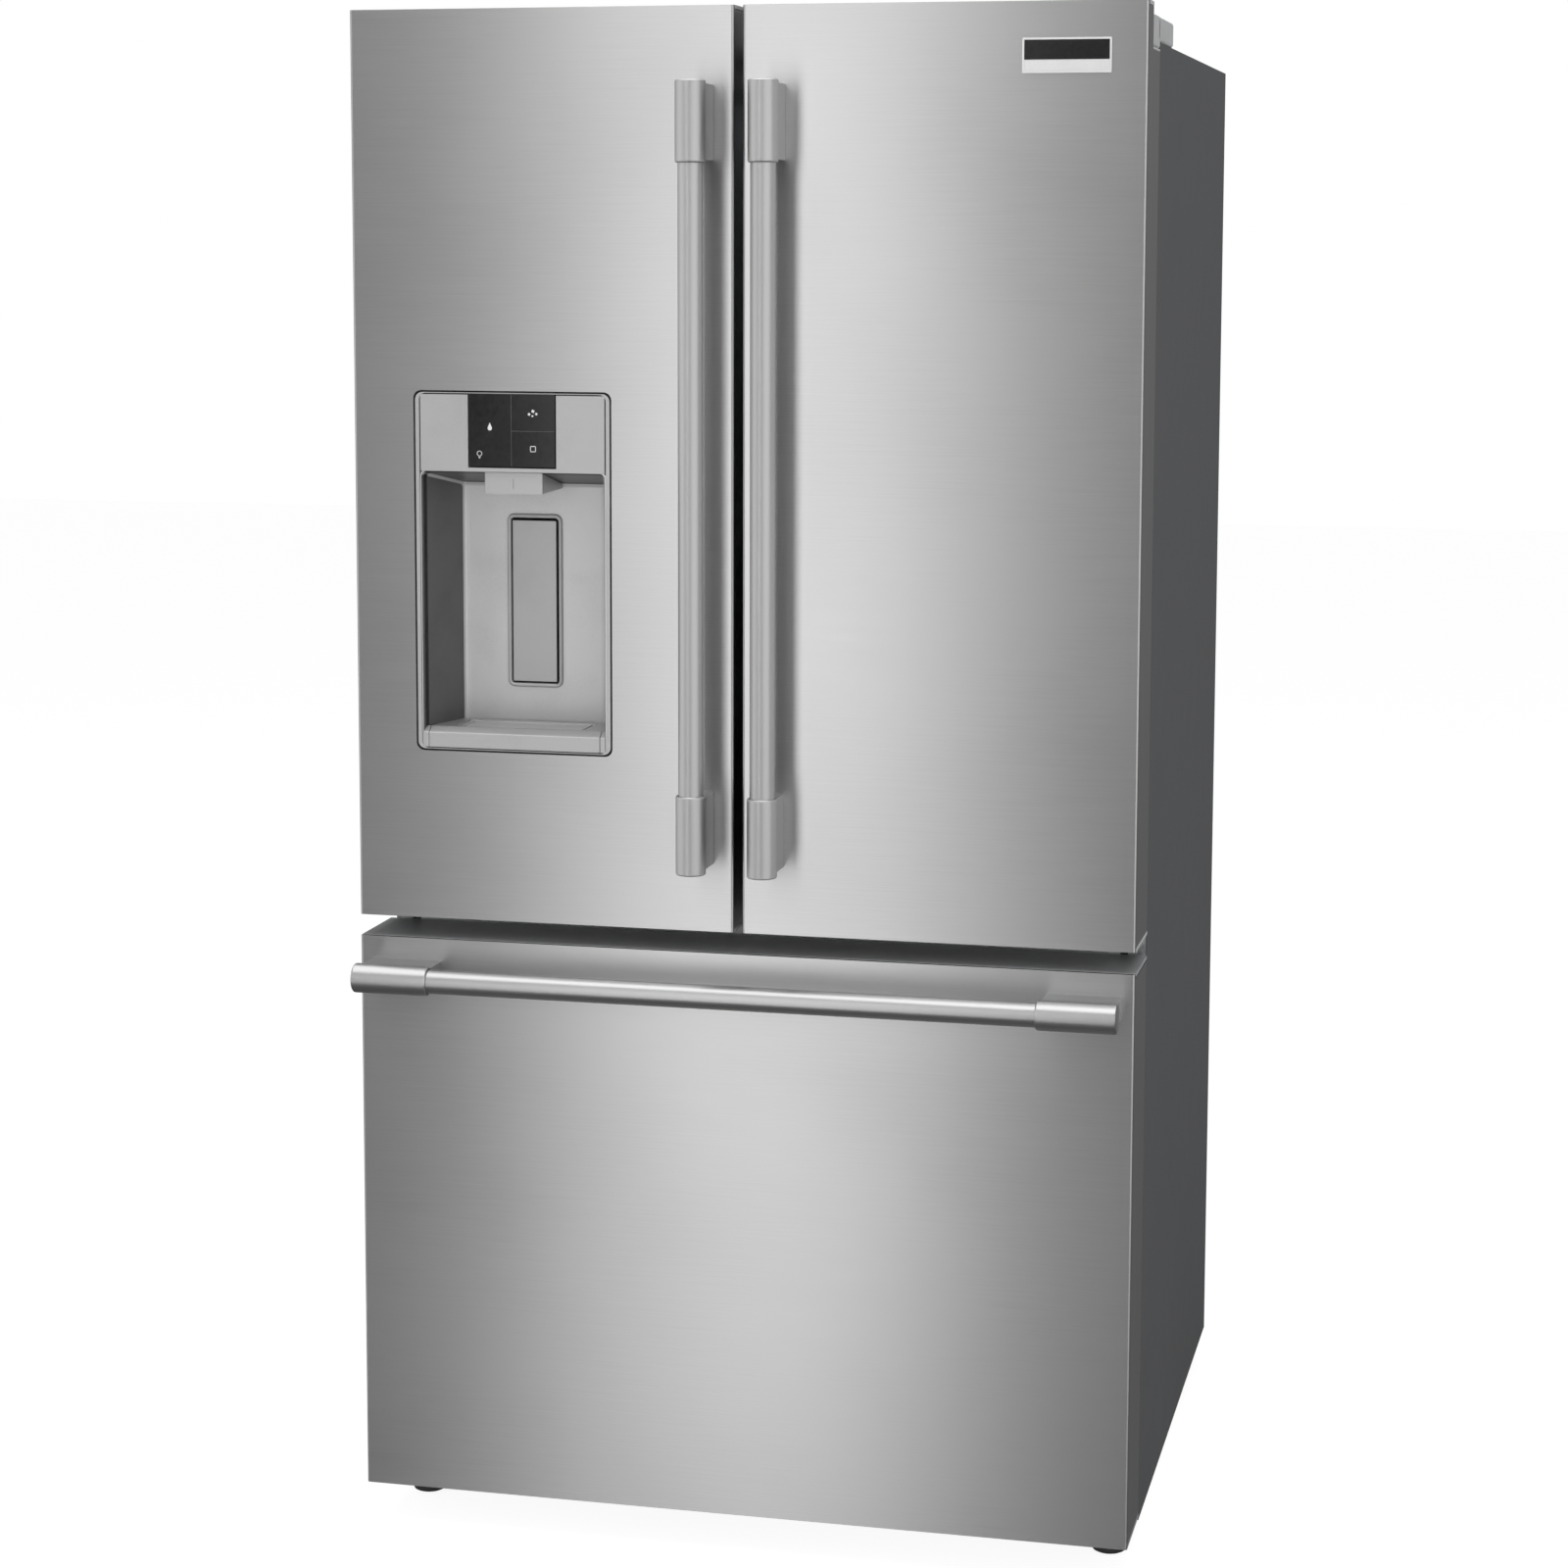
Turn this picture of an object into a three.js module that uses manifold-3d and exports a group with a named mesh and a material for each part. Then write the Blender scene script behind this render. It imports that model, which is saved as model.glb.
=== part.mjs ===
// French door refrigerator with a bottom freezer drawer and a water and ice dispenser.
// Millimetres, +Z up, front towards -Y, +X to the right. Origin on the floor, centred under the whole.
import * as THREE from 'three';
import Module from 'manifold-3d';
import { mergeVertices } from 'three/addons/utils/BufferGeometryUtils.js';

const wasm = await Module();
wasm.setup();

// ---------------------------------------------------------------- driving dimensions
const WIDTH = 908;              // over both doors, and over the drawer front
const HEIGHT = 1778;            // floor to door top
const CASE_DEPTH = 720;
const CASE_INSET = 2;           // each side of the case stands this far inside the doors
const CASE_TOP_DROP = 40;       // door top down to case top
const CASE_BOTTOM = 38;
const DOOR_THICK = 104;
const GASKET_GAP = 16;          // door rear to case front
const HANDLE_PROUD = 70;        // door front to the front of a handle mount
const DOOR_BOTTOM = 736;
const DRAWER_TOP = 712;
const DRAWER_BOTTOM = 48;
const DOOR_GAP = 10;            // between the two doors
const GAP = 0.3;                // between pieces that touch

const SHEET = 1;                // sheet steel of skins and wrapper
const CAP = 5;                  // moulded end cap on a door
const EDGE_RADIUS = 3;          // front vertical edges of doors and drawer
const FLANGE = 30;              // front flange of the wrapper
const LINER_WALL = 2.5;
const WALL = 48;                // insulated side wall, outside of the case to inside of the liner
const FRESH_BOTTOM_RISE = 36;   // door bottom to fresh-food floor
const FRESH_TOP_DROP = 48;      // case top to fresh-food ceiling
const FREEZER_TOP_DROP = 34;    // drawer top to freezer ceiling
const FREEZER_FLOOR_RISE = 57;  // case bottom to freezer floor
const BACK_WALL = 60;           // case rear to the inside of both liners

const HINGE_IN = 18;            // hinge axis from the door's outer side, and
const HINGE_FWD = 19;           // from the door's rear face
const NOTCH_FRONT = 41;         // notch wall in front of the hinge axis
const NOTCH_SIDE = 53;          // notch wall beside the hinge axis
const NOTCH_DEPTH = 48;         // door top to notch floor
const PIN_R = 5;
const PIN_CLEAR = 0.6;

const BAR_R = 14;
const MOUNT_R = 17;
const MOUNT_LENGTH = 90;
const SOCKET_DEPTH = 20;
const STEM_WIDTH = 30;
const HANDLE_X = 41;            // door handle axis from the centre line
const HANDLE_TOP_DROP = 84;     // door top to handle top
const HANDLE_BOTTOM_RISE = 76;  // door bottom to handle bottom
const DRAWER_HANDLE_DROP = 39;  // drawer top to handle axis
const DRAWER_HANDLE_INSET = 12; // drawer side to handle end

const DISP_WIDTH = 233.5;
const DISP_HEIGHT = 414;
const DISP_RISE = 198;          // door bottom to dispenser bottom
const DISP_OUTER_INSET = 72.5;  // door's outer side to dispenser
const DISP_CORNER = 9;
const DISP_DEPTH = 86;
const DISP_DRAFT = 24;          // recess side walls lean in by this much
const DISP_BORDER = 6.5;
const DISP_EDGE = 2.5;          // frame above the fascia and below the sill
const FASCIA_HEIGHT = 91.5;
const CEILING_DROP = 18;
const GLASS_WIDTH = 102;
const GLASS_HEIGHT = 83;
const GLASS_THICK = 3;
const NOZZLE_WIDTH = 70;
const NOZZLE_DROP = 25;         // fascia bottom to nozzle bottom
const NOZZLE_SETBACK = 5;
const PADDLE_WIDTH = 55;
const PADDLE_HEIGHT = 189;
const PADDLE_RISE = 72;         // dispenser bottom to paddle bottom
const PADDLE_THICK = 3.5;
const PADDLE_POCKET = 34;
const PADDLE_RIM = 6;
const PADDLE_PIN_R = 2.5;
const SILL_HEIGHT = 19;
const SILL_CHAMFER = 9;
const CAVITY_WALL = 2.5;
const BULGE_WALL = 18;          // inner door behind the dispenser

const DYKE_DEPTH = 86;          // raised wall on the inner door
const DYKE_WALL = 24;
const DYKE_CLEAR = 8;
const GASKET_WIDTH = 16;
const MULLION_WIDTH = 62;
const MULLION_THICK = 26;
const MULLION_AXIS_X = 36;      // mullion axis from the centre line
const MULLION_AXIS_Y = 16;      // and behind the case front
const MULLION_HEEL = 7;
const BIN_HEIGHT = 100;
const BIN_DEPTH = 108;
const BIN_WALL = 3;

const SHELF_THICK = 12;
const SHELF_SETBACK = 135;      // case front to shelf front
const SHELF_REAR_CLEAR = 7;
const SHELF_SIDE_CLEAR = 4;
const CRISPER_HEIGHT = 174;
const CRISPER_REAR_CLEAR = 65;  // air duct behind the crispers
const CRISPER_SETBACK = 155;
const CRISPER_WALL = 2.5;
const CRISPER_LIFT = 4;
const ICE_WIDTH = 280;
const ICE_HEIGHT = 185;
const ICE_SETBACK = 205;

const MACHINE_DEPTH = 220;      // compartment, from the case rear
const MACHINE_HEIGHT = 262;     // above the case bottom
const STEP_WALL = 55;           // insulated wall in front of the compartment
const BASE_SHEET = 3.5;
const FOOT_R = 20;
const FOOT_X_INSET = 36;
const FOOT_SETBACK = 2;         // case front to foot axis
const STEM_R = 5;
const ROLLER_R = 17;
const ROLLER_WIDTH = 25;
const ROLLER_FROM_REAR = 55;
const AXLE_R = 4;
const RAIL_WIDTH = 35;
const COMPRESSOR_R = 78;
const FAN_R = 74;

const SLIDE_REAR_CLEAR = 15;    // slide rear to the step in the freezer floor
const SLIDE_HEIGHT = 46;
const SLIDE_DEPTH = 12;
const SLIDE_SHEET = 1.5;
const SLIDE_CLEAR = 3.5;        // vertical room between nested members
const SLIDE_RISE = 238;         // freezer floor to slide bottom
const BASKET_REAR_CLEAR = 10;   // basket rear to slide rear
const BASKET_DROP = 256;
const BASKET_WALL = 3;
const UPPER_BASKET_DEPTH = 260;
const UPPER_BASKET_HEIGHT = 126;

// ---------------------------------------------------------------- places that follow from them
const DOOR_FRONT = -(HANDLE_PROUD + DOOR_THICK + GASKET_GAP + CASE_DEPTH) / 2 + HANDLE_PROUD;
const DOOR_REAR = DOOR_FRONT + DOOR_THICK;
const CASE_FRONT = DOOR_REAR + GASKET_GAP;
const CASE_REAR = CASE_FRONT + CASE_DEPTH;
const CASE_HALF = WIDTH / 2 - CASE_INSET;
const CASE_TOP = HEIGHT - CASE_TOP_DROP;
const ROOM_HALF = CASE_HALF - WALL;
const ROOM_REAR = CASE_REAR - BACK_WALL;
const FRESH_BOTTOM = DOOR_BOTTOM + FRESH_BOTTOM_RISE;
const FRESH_TOP = CASE_TOP - FRESH_TOP_DROP;
const FREEZER_BOTTOM = CASE_BOTTOM + FREEZER_FLOOR_RISE;
const FREEZER_TOP = DRAWER_TOP - FREEZER_TOP_DROP;
const LINER_SPLIT = (DOOR_BOTTOM + DRAWER_TOP) / 2;
const MACHINE_FRONT = CASE_REAR - MACHINE_DEPTH;
const MACHINE_TOP = CASE_BOTTOM + MACHINE_HEIGHT;
const STEP_Y = MACHINE_FRONT - STEP_WALL;
const HINGE_X = WIDTH / 2 - HINGE_IN;
const HINGE_Y = DOOR_REAR - HINGE_FWD;
const HANDLE_Y = DOOR_FRONT - HANDLE_PROUD + MOUNT_R;
const NOTCH_FLOOR = HEIGHT - NOTCH_DEPTH;
const BASE_TOP = CASE_BOTTOM - 0.5;
const SEGMENTS = 28;

// ---------------------------------------------------------------- solids
// A closed geometry as a manifold solid: shared corners merged, flattened triangles dropped.
function solid(geometry) {
  const plain = geometry.clone();
  plain.deleteAttribute('normal');
  plain.deleteAttribute('uv');
  const merged = mergeVertices(plain, 1e-4);
  const corners = merged.index.array;
  const kept = [];
  for (let i = 0; i < corners.length; i += 3) {
    const [a, b, c] = [corners[i], corners[i + 1], corners[i + 2]];
    if (a !== b && b !== c && c !== a) kept.push(a, b, c);
  }
  return new wasm.Manifold(new wasm.Mesh({
    numProp: 3,
    vertProperties: new Float32Array(merged.attributes.position.array),
    triVerts: new Uint32Array(kept),
  }));
}

function box(xs, ys, zs) {
  const [x0, x1] = xs[0] < xs[1] ? xs : [xs[1], xs[0]];
  const geometry = new THREE.BoxGeometry(x1 - x0, ys[1] - ys[0], zs[1] - zs[0]);
  geometry.translate((x0 + x1) / 2, (ys[0] + ys[1]) / 2, (zs[0] + zs[1]) / 2);
  return solid(geometry);
}

function rod(radius, from, to, segments = SEGMENTS) {
  const start = new THREE.Vector3(...from);
  const run = new THREE.Vector3(...to).sub(start);
  const geometry = new THREE.CylinderGeometry(radius, radius, run.length(), segments);
  geometry.translate(0, run.length() / 2, 0);
  const turn = new THREE.Quaternion().setFromUnitVectors(new THREE.Vector3(0, 1, 0), run.clone().normalize());
  geometry.applyQuaternion(turn);
  geometry.translate(...from);
  return solid(geometry);
}

// An outline in X and Y carried up from z0 to z1.
function upright(outline, z0, z1) {
  const geometry = new THREE.ExtrudeGeometry(outline, { depth: z1 - z0, bevelEnabled: false, curveSegments: 5 });
  geometry.translate(0, 0, z0);
  return solid(geometry);
}

// An outline in Y and Z carried across from x0 to x1.
function across(points, x0, x1) {
  const outline = new THREE.Shape(points.map(([y, z]) => new THREE.Vector2(y, z)));
  const geometry = new THREE.ExtrudeGeometry(outline, { depth: Math.abs(x1 - x0), bevelEnabled: false });
  geometry.applyMatrix4(new THREE.Matrix4().makeBasis(
    new THREE.Vector3(0, 1, 0), new THREE.Vector3(0, 0, 1), new THREE.Vector3(1, 0, 0)));
  geometry.translate(Math.min(x0, x1), 0, 0);
  return solid(geometry);
}

// A box whose rear end, at y1, has its own rectangle.
function taper(front, rear, y0, y1) {
  const geometry = new THREE.BoxGeometry(1, 1, 1);
  const place = geometry.attributes.position;
  for (let i = 0; i < place.count; i += 1) {
    const end = place.getY(i) < 0 ? front : rear;
    const x = place.getX(i) < 0 ? end.x[0] : end.x[1];
    const z = place.getZ(i) < 0 ? end.z[0] : end.z[1];
    place.setXYZ(i, x, place.getY(i) < 0 ? y0 : y1, z);
  }
  return solid(geometry);
}

function roundedFrame(x0, x1, z0, z1, radius, y0, y1) {
  const outline = new THREE.Shape();
  outline.moveTo(x0 + radius, z0);
  outline.lineTo(x1 - radius, z0);
  outline.absarc(x1 - radius, z0 + radius, radius, -Math.PI / 2, 0, false);
  outline.lineTo(x1, z1 - radius);
  outline.absarc(x1 - radius, z1 - radius, radius, 0, Math.PI / 2, false);
  outline.lineTo(x0 + radius, z1);
  outline.absarc(x0 + radius, z1 - radius, radius, Math.PI / 2, Math.PI, false);
  outline.lineTo(x0, z0 + radius);
  outline.absarc(x0 + radius, z0 + radius, radius, Math.PI, Math.PI * 1.5, false);
  const geometry = new THREE.ExtrudeGeometry(outline, { depth: y1 - y0, bevelEnabled: false, curveSegments: 5 });
  geometry.rotateX(Math.PI / 2);
  geometry.translate(0, y1, 0);
  return solid(geometry);
}

const finishes = {
  stainless: { color: 0xb4b5b6, roughness: 0.34, metalness: 0.9 },
  handle: { color: 0xa8a9aa, roughness: 0.28, metalness: 0.95 },
  paint: { color: 0x55575a, roughness: 0.55, metalness: 0.3 },
  greyPlastic: { color: 0xb3b5b7, roughness: 0.5, metalness: 0 },
  silverPlastic: { color: 0xa6a7a8, roughness: 0.4, metalness: 0.4 },
  blackGlass: { color: 0x222222, roughness: 0.15, metalness: 0 },
  liner: { color: 0xeef0f1, roughness: 0.4, metalness: 0 },
  clear: { color: 0xd9e2e6, roughness: 0.15, metalness: 0 },
  rubber: { color: 0x8f9194, roughness: 0.8, metalness: 0 },
  black: { color: 0x1c1c1d, roughness: 0.6, metalness: 0 },
  zinc: { color: 0x9b9da0, roughness: 0.4, metalness: 0.8 },
  foam: { color: 0xe6d9a8, roughness: 0.95, metalness: 0 },
};

function part(name, body, finish) {
  const raw = body.getMesh();
  const geometry = new THREE.BufferGeometry();
  geometry.setAttribute('position', new THREE.BufferAttribute(new Float32Array(raw.vertProperties), 3));
  geometry.setIndex(new THREE.BufferAttribute(new Uint32Array(raw.triVerts), 1));
  geometry.computeVertexNormals();
  const mesh = new THREE.Mesh(geometry, new THREE.MeshStandardMaterial(finishes[finish]));
  mesh.name = name;
  return mesh;
}

const sideName = (side) => (side < 0 ? 'left' : 'right');

// ---------------------------------------------------------------- cabinet
function cabinetShell() {
  const whole = [-CASE_HALF, CASE_HALF];
  const wrapper = box(whole, [CASE_FRONT, CASE_REAR], [CASE_BOTTOM, CASE_TOP])
    .subtract(box([-CASE_HALF + SHEET, CASE_HALF - SHEET], [CASE_FRONT + SHEET, CASE_REAR + 1],
      [CASE_BOTTOM - 1, CASE_TOP - SHEET]))
    .subtract(box([-CASE_HALF + FLANGE, CASE_HALF - FLANGE], [CASE_FRONT - 1, CASE_FRONT + 2],
      [CASE_BOTTOM - 1, CASE_TOP - FLANGE]));
  const inside = CASE_HALF - SHEET - GAP;
  const panelFront = CASE_REAR - 3;
  const back = box([-inside, inside], [panelFront, CASE_REAR], [MACHINE_TOP + GAP, CASE_TOP - SHEET - GAP]);
  let cover = box([-inside, inside], [panelFront, CASE_REAR - 0.5], [CASE_BOTTOM + GAP, MACHINE_TOP]);
  const slots = 9;
  for (let row = 0; row < 3; row += 1) {
    for (let i = 0; i < slots; i += 1) {
      const x = (i - (slots - 1) / 2) * (inside * 1.7 / slots);
      const z = CASE_BOTTOM + 60 + row * 55;
      cover = cover.subtract(box([x - 24, x + 24], [panelFront - 1, CASE_REAR + 1], [z, z + 12]));
    }
  }
  return [
    part('cabinet_wrapper', wrapper, 'paint'),
    part('back_panel', back, 'zinc'),
    part('machine_cover', cover, 'black'),
  ];
}

const freezerProfile = (grow) => {
  const slope = BACK_WALL - 8;
  return [
    [CASE_FRONT - 1, FREEZER_BOTTOM - grow],
    [STEP_Y + grow, FREEZER_BOTTOM - grow],
    [STEP_Y + grow, MACHINE_TOP - grow * 0.4],
    [STEP_Y + slope + grow * 0.4, MACHINE_TOP + slope - grow],
    [ROOM_REAR + grow, MACHINE_TOP + slope - grow],
    [ROOM_REAR + grow, FREEZER_TOP + grow],
    [CASE_FRONT - 1, FREEZER_TOP + grow],
  ];
};

function freshRoom(grow) {
  return box([-ROOM_HALF - grow, ROOM_HALF + grow], [CASE_FRONT - 1, ROOM_REAR + grow],
    [FRESH_BOTTOM - grow, FRESH_TOP + grow]);
}

function freezerRoom(grow) {
  return across(freezerProfile(grow), -ROOM_HALF - grow, ROOM_HALF + grow);
}

function linersAndFoam() {
  const lipHalf = CASE_HALF - FLANGE - GAP;
  const lipY = [CASE_FRONT + GAP, CASE_FRONT + GAP + LINER_WALL];
  const front = box([-CASE_HALF, CASE_HALF], [CASE_FRONT - 5, lipY[0]], [0, HEIGHT]);
  const fresh = freshRoom(LINER_WALL)
    .add(box([-lipHalf, lipHalf], lipY, [LINER_SPLIT + GAP / 2, CASE_TOP - FLANGE - GAP]))
    .subtract(freshRoom(0)).subtract(front);
  const freezer = freezerRoom(LINER_WALL)
    .add(box([-lipHalf, lipHalf], lipY, [CASE_BOTTOM + 3, LINER_SPLIT - GAP / 2]))
    .subtract(freezerRoom(0)).subtract(front);
  const inside = CASE_HALF - SHEET - GAP;
  const foam = box([-inside, inside], [lipY[1] + GAP, CASE_REAR - 3 - GAP], [CASE_BOTTOM + 3, CASE_TOP - SHEET - GAP])
    .subtract(freshRoom(LINER_WALL + GAP))
    .subtract(freezerRoom(LINER_WALL + GAP))
    .subtract(box([-CASE_HALF, CASE_HALF], [MACHINE_FRONT, CASE_REAR], [0, MACHINE_TOP]));
  return [
    part('fresh_food_liner', fresh, 'liner'),
    part('freezer_liner', freezer, 'liner'),
    part('insulation_foam', foam, 'foam'),
  ];
}

const footX = CASE_HALF - FOOT_X_INSET + 2;
const footY = CASE_FRONT + FOOT_SETBACK;
const railOuter = CASE_HALF - 12;
const rollerX = railOuter - RAIL_WIDTH / 2;
const rollerY = CASE_REAR - ROLLER_FROM_REAR;
const FAN_X = 12;
const fanY = CASE_REAR - 95;
const fanZ = CASE_BOTTOM + 107;

function baseFrame() {
  const frontRail = [footY - 27, footY + 48];
  let frame = box([-railOuter, railOuter], frontRail, [24, BASE_TOP]);
  for (const side of [-1, 1]) {
    const rail = [side * (railOuter - RAIL_WIDTH), side * railOuter];
    const well = [side * (rollerX - ROLLER_WIDTH / 2 - 0.5), side * (rollerX + ROLLER_WIDTH / 2 + 0.5)];
    frame = frame.add(box(rail, [frontRail[1] - 1, rollerY + 30], [9, BASE_TOP]))
      .subtract(box(well, [rollerY - ROLLER_R - 3, rollerY + ROLLER_R + 3], [0, BASE_TOP - 1.5]))
      .subtract(rod(AXLE_R + 0.5, [side * (rollerX - 30), rollerY, ROLLER_R],
        [side * (rollerX + 30), rollerY, ROLLER_R], 16))
      .subtract(rod(STEM_R + 0.6, [side * footX, footY, 20], [side * footX, footY, BASE_TOP + 1], 16));
  }
  const tray = box([-railOuter, railOuter], [MACHINE_FRONT + 4, CASE_REAR - 4], [BASE_TOP - BASE_SHEET, BASE_TOP])
    .subtract(box([-railOuter - 1, -railOuter + RAIL_WIDTH], [0, CASE_REAR + 1], [0, BASE_TOP - 1.5]))
    .subtract(box([railOuter - RAIL_WIDTH, railOuter + 1], [0, CASE_REAR + 1], [0, BASE_TOP - 1.5]));
  const motor = rod(22, [FAN_X - 62, fanY, fanZ], [FAN_X - 18, fanY, fanZ], 20)
    .add(box([FAN_X - 46, FAN_X - 34], [fanY - 10, fanY + 10], [BASE_TOP - 1, fanZ]));
  return part('base_frame', frame.add(tray).add(motor), 'zinc');
}

function machineRoom() {
  const floor = BASE_TOP + GAP;
  const profile = [[0, 0], [COMPRESSOR_R - 4, 0], [COMPRESSOR_R, 8], [COMPRESSOR_R, 95], [COMPRESSOR_R + 4, 100],
    [COMPRESSOR_R + 4, 108], [COMPRESSOR_R, 112], [COMPRESSOR_R - 10, 148], [COMPRESSOR_R - 34, 172], [0, 182]];
  const shell = new THREE.LatheGeometry(profile.map(([r, z]) => new THREE.Vector2(r, z)), 24);
  shell.rotateX(Math.PI / 2);
  const compressorX = FAN_X - 190;
  const compressorY = CASE_REAR - 112;
  shell.translate(compressorX, compressorY, floor + 12);
  const foot = box([compressorX - 95, compressorX + 95], [compressorY - 60, compressorY + 60], [floor, floor + 14]);
  const condenserX = FAN_X + 42;
  const condenserEnd = condenserX + 180;
  const fins = 8;
  let condenser = rod(6, [condenserX, fanY - 36, fanZ - 50], [condenserEnd, fanY - 36, fanZ - 50], 8);
  for (const [y, z] of [[-36, 50], [36, -50], [36, 50]]) {
    condenser = condenser.add(rod(6, [condenserX, fanY + y, fanZ + z], [condenserEnd, fanY + y, fanZ + z], 8));
  }
  for (let i = 0; i < fins; i += 1) {
    const x = condenserX + 6 + i * (168 / (fins - 1));
    condenser = condenser.add(box([x - 0.8, x + 0.8], [fanY - 58, fanY + 58], [fanZ - 88, fanZ + 88]));
  }
  let fan = rod(18, [FAN_X, fanY, fanZ], [FAN_X + 18, fanY, fanZ], 20)
    .add(rod(3, [FAN_X - 18 + GAP, fanY, fanZ], [FAN_X + 1, fanY, fanZ], 12));
  const blades = 5;
  for (let i = 0; i < blades; i += 1) {
    const blade = new THREE.BoxGeometry(2, 44, FAN_R - 16);
    blade.translate(0, 0, (FAN_R + 16) / 2);
    blade.rotateZ(Math.PI / 5);
    blade.rotateX((i * 2 * Math.PI) / blades);
    blade.translate(FAN_X + 9, fanY, fanZ);
    fan = fan.add(solid(blade));
  }
  return [
    part('compressor', solid(shell).add(foot), 'black'),
    part('condenser', condenser, 'zinc'),
    part('condenser_fan', fan, 'greyPlastic'),
  ];
}

function footAndRoller(side) {
  const foot = rod(FOOT_R, [0, 0, 0], [0, 0, 10])
    .add(rod(STEM_R, [0, 0, 9], [0, 0, CASE_BOTTOM - 1], 16));
  const footMesh = part(`leveling_foot_${sideName(side)}`, foot, 'black');
  footMesh.position.set(side * footX, footY, 0);
  const half = ROLLER_WIDTH / 2;
  const roller = rod(ROLLER_R, [-half, 0, 0], [half, 0, 0])
    .add(rod(AXLE_R, [-RAIL_WIDTH / 2 + GAP, 0, 0], [RAIL_WIDTH / 2 - GAP, 0, 0], 16));
  const rollerMesh = part(`rear_roller_${sideName(side)}`, roller, 'black');
  rollerMesh.position.set(side * rollerX, rollerY, ROLLER_R);
  return [footMesh, rollerMesh];
}

function hingeSet(side) {
  const x = side * HINGE_X;
  const outer = side * (CASE_HALF - 4);
  const plateZ = [CASE_TOP + GAP, CASE_TOP + GAP + 4];
  const top = box([side * (HINGE_X - 40), outer], [CASE_FRONT + 3, CASE_FRONT + 115], plateZ)
    .add(box([side * (HINGE_X - 15), outer], [HINGE_Y - 18, CASE_FRONT + 4], plateZ))
    .add(rod(PIN_R, [x, HINGE_Y, NOTCH_FLOOR - 28], [x, HINGE_Y, plateZ[1] - 1], 16));
  const cover = (inset, z0, z1) => box([side * (HINGE_X - 62 + inset), side * (CASE_HALF - inset)],
    [DOOR_REAR + 5 + inset, CASE_FRONT + 126 - inset], [z0, z1])
    .add(box([side * (HINGE_X - 34 + inset), side * (CASE_HALF - inset)],
      [HINGE_Y - 35 + inset, DOOR_REAR + 10 + inset], [z0, z1]));
  const coverTop = HEIGHT - 11;
  const shell = cover(0, NOTCH_FLOOR + 1, coverTop)
    .subtract(cover(2.5, NOTCH_FLOOR - 5, coverTop - 2.5))
    .subtract(box([-CASE_HALF - 5, CASE_HALF + 5], [CASE_FRONT - 1, CASE_REAR], [0, CASE_TOP + GAP]));
  const tabZ = [LINER_SPLIT - 2, LINER_SPLIT + 2];
  const plate = [side * (CASE_HALF - 21), side * (CASE_HALF - 1)];
  const mid = box(plate, [CASE_FRONT - GAP - 3, CASE_FRONT - GAP], [DRAWER_TOP - 12, DOOR_BOTTOM - 2])
    .add(box([side * (HINGE_X - 12), side * (CASE_HALF - 4)], [HINGE_Y - 16, CASE_FRONT - GAP - 1], tabZ))
    .add(rod(PIN_R - 0.5, [x, HINGE_Y, LINER_SPLIT], [x, HINGE_Y, DOOR_BOTTOM + 24], 16));
  return [
    part(`top_hinge_${sideName(side)}`, top, 'zinc'),
    part(`hinge_cover_${sideName(side)}`, shell, 'greyPlastic'),
    part(`mid_hinge_${sideName(side)}`, mid, 'zinc'),
  ];
}

// ---------------------------------------------------------------- fresh-food fittings
const shelfFront = CASE_FRONT + SHELF_SETBACK;
const shelfRear = ROOM_REAR - SHELF_REAR_CLEAR;
const shelfHalf = ROOM_HALF - SHELF_SIDE_CLEAR;
const crisperTop = FRESH_BOTTOM + CRISPER_LIFT + CRISPER_HEIGHT;
const coverZ = crisperTop + 12;
const iceBottom = FRESH_TOP - 5 - ICE_HEIGHT;
const iceFront = CASE_FRONT + ICE_SETBACK;

function shelf(name, xs, z) {
  const slab = box(xs, [shelfFront, shelfRear], [z, z + SHELF_THICK]);
  return part(name, slab.add(box(xs, [shelfFront - 5, shelfFront + 8], [z - 6, z + SHELF_THICK + 4])), 'clear');
}

function freshFittings() {
  const room = iceBottom - coverZ - SHELF_THICK;
  const lowerZ = coverZ + SHELF_THICK + room / 3;
  const leftZ = coverZ + SHELF_THICK + room * 2 / 3;
  const rightZ = lowerZ + SHELF_THICK + (FRESH_TOP - lowerZ - SHELF_THICK) * 0.44;
  const iceX = [-shelfHalf, -shelfHalf + ICE_WIDTH];
  const ice = box(iceX, [iceFront, shelfRear], [iceBottom, FRESH_TOP - 5])
    .subtract(box([iceX[0] + 14, iceX[1] - 14], [iceFront - 1, iceFront + 6], [iceBottom + 14, FRESH_TOP - 19]))
    .add(box([iceX[1] - 90, iceX[1] - 26], [iceFront - 6, iceFront + 8], [iceBottom + 80, iceBottom + 96]));
  return [
    shelf('crisper_cover', [-shelfHalf, shelfHalf], coverZ),
    shelf('shelf_lower', [-shelfHalf, shelfHalf], lowerZ),
    shelf('shelf_upper_left', [-shelfHalf, -4], leftZ),
    shelf('shelf_upper_right', [4, shelfHalf], rightZ),
    part('ice_maker', ice, 'liner'),
  ];
}

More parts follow.
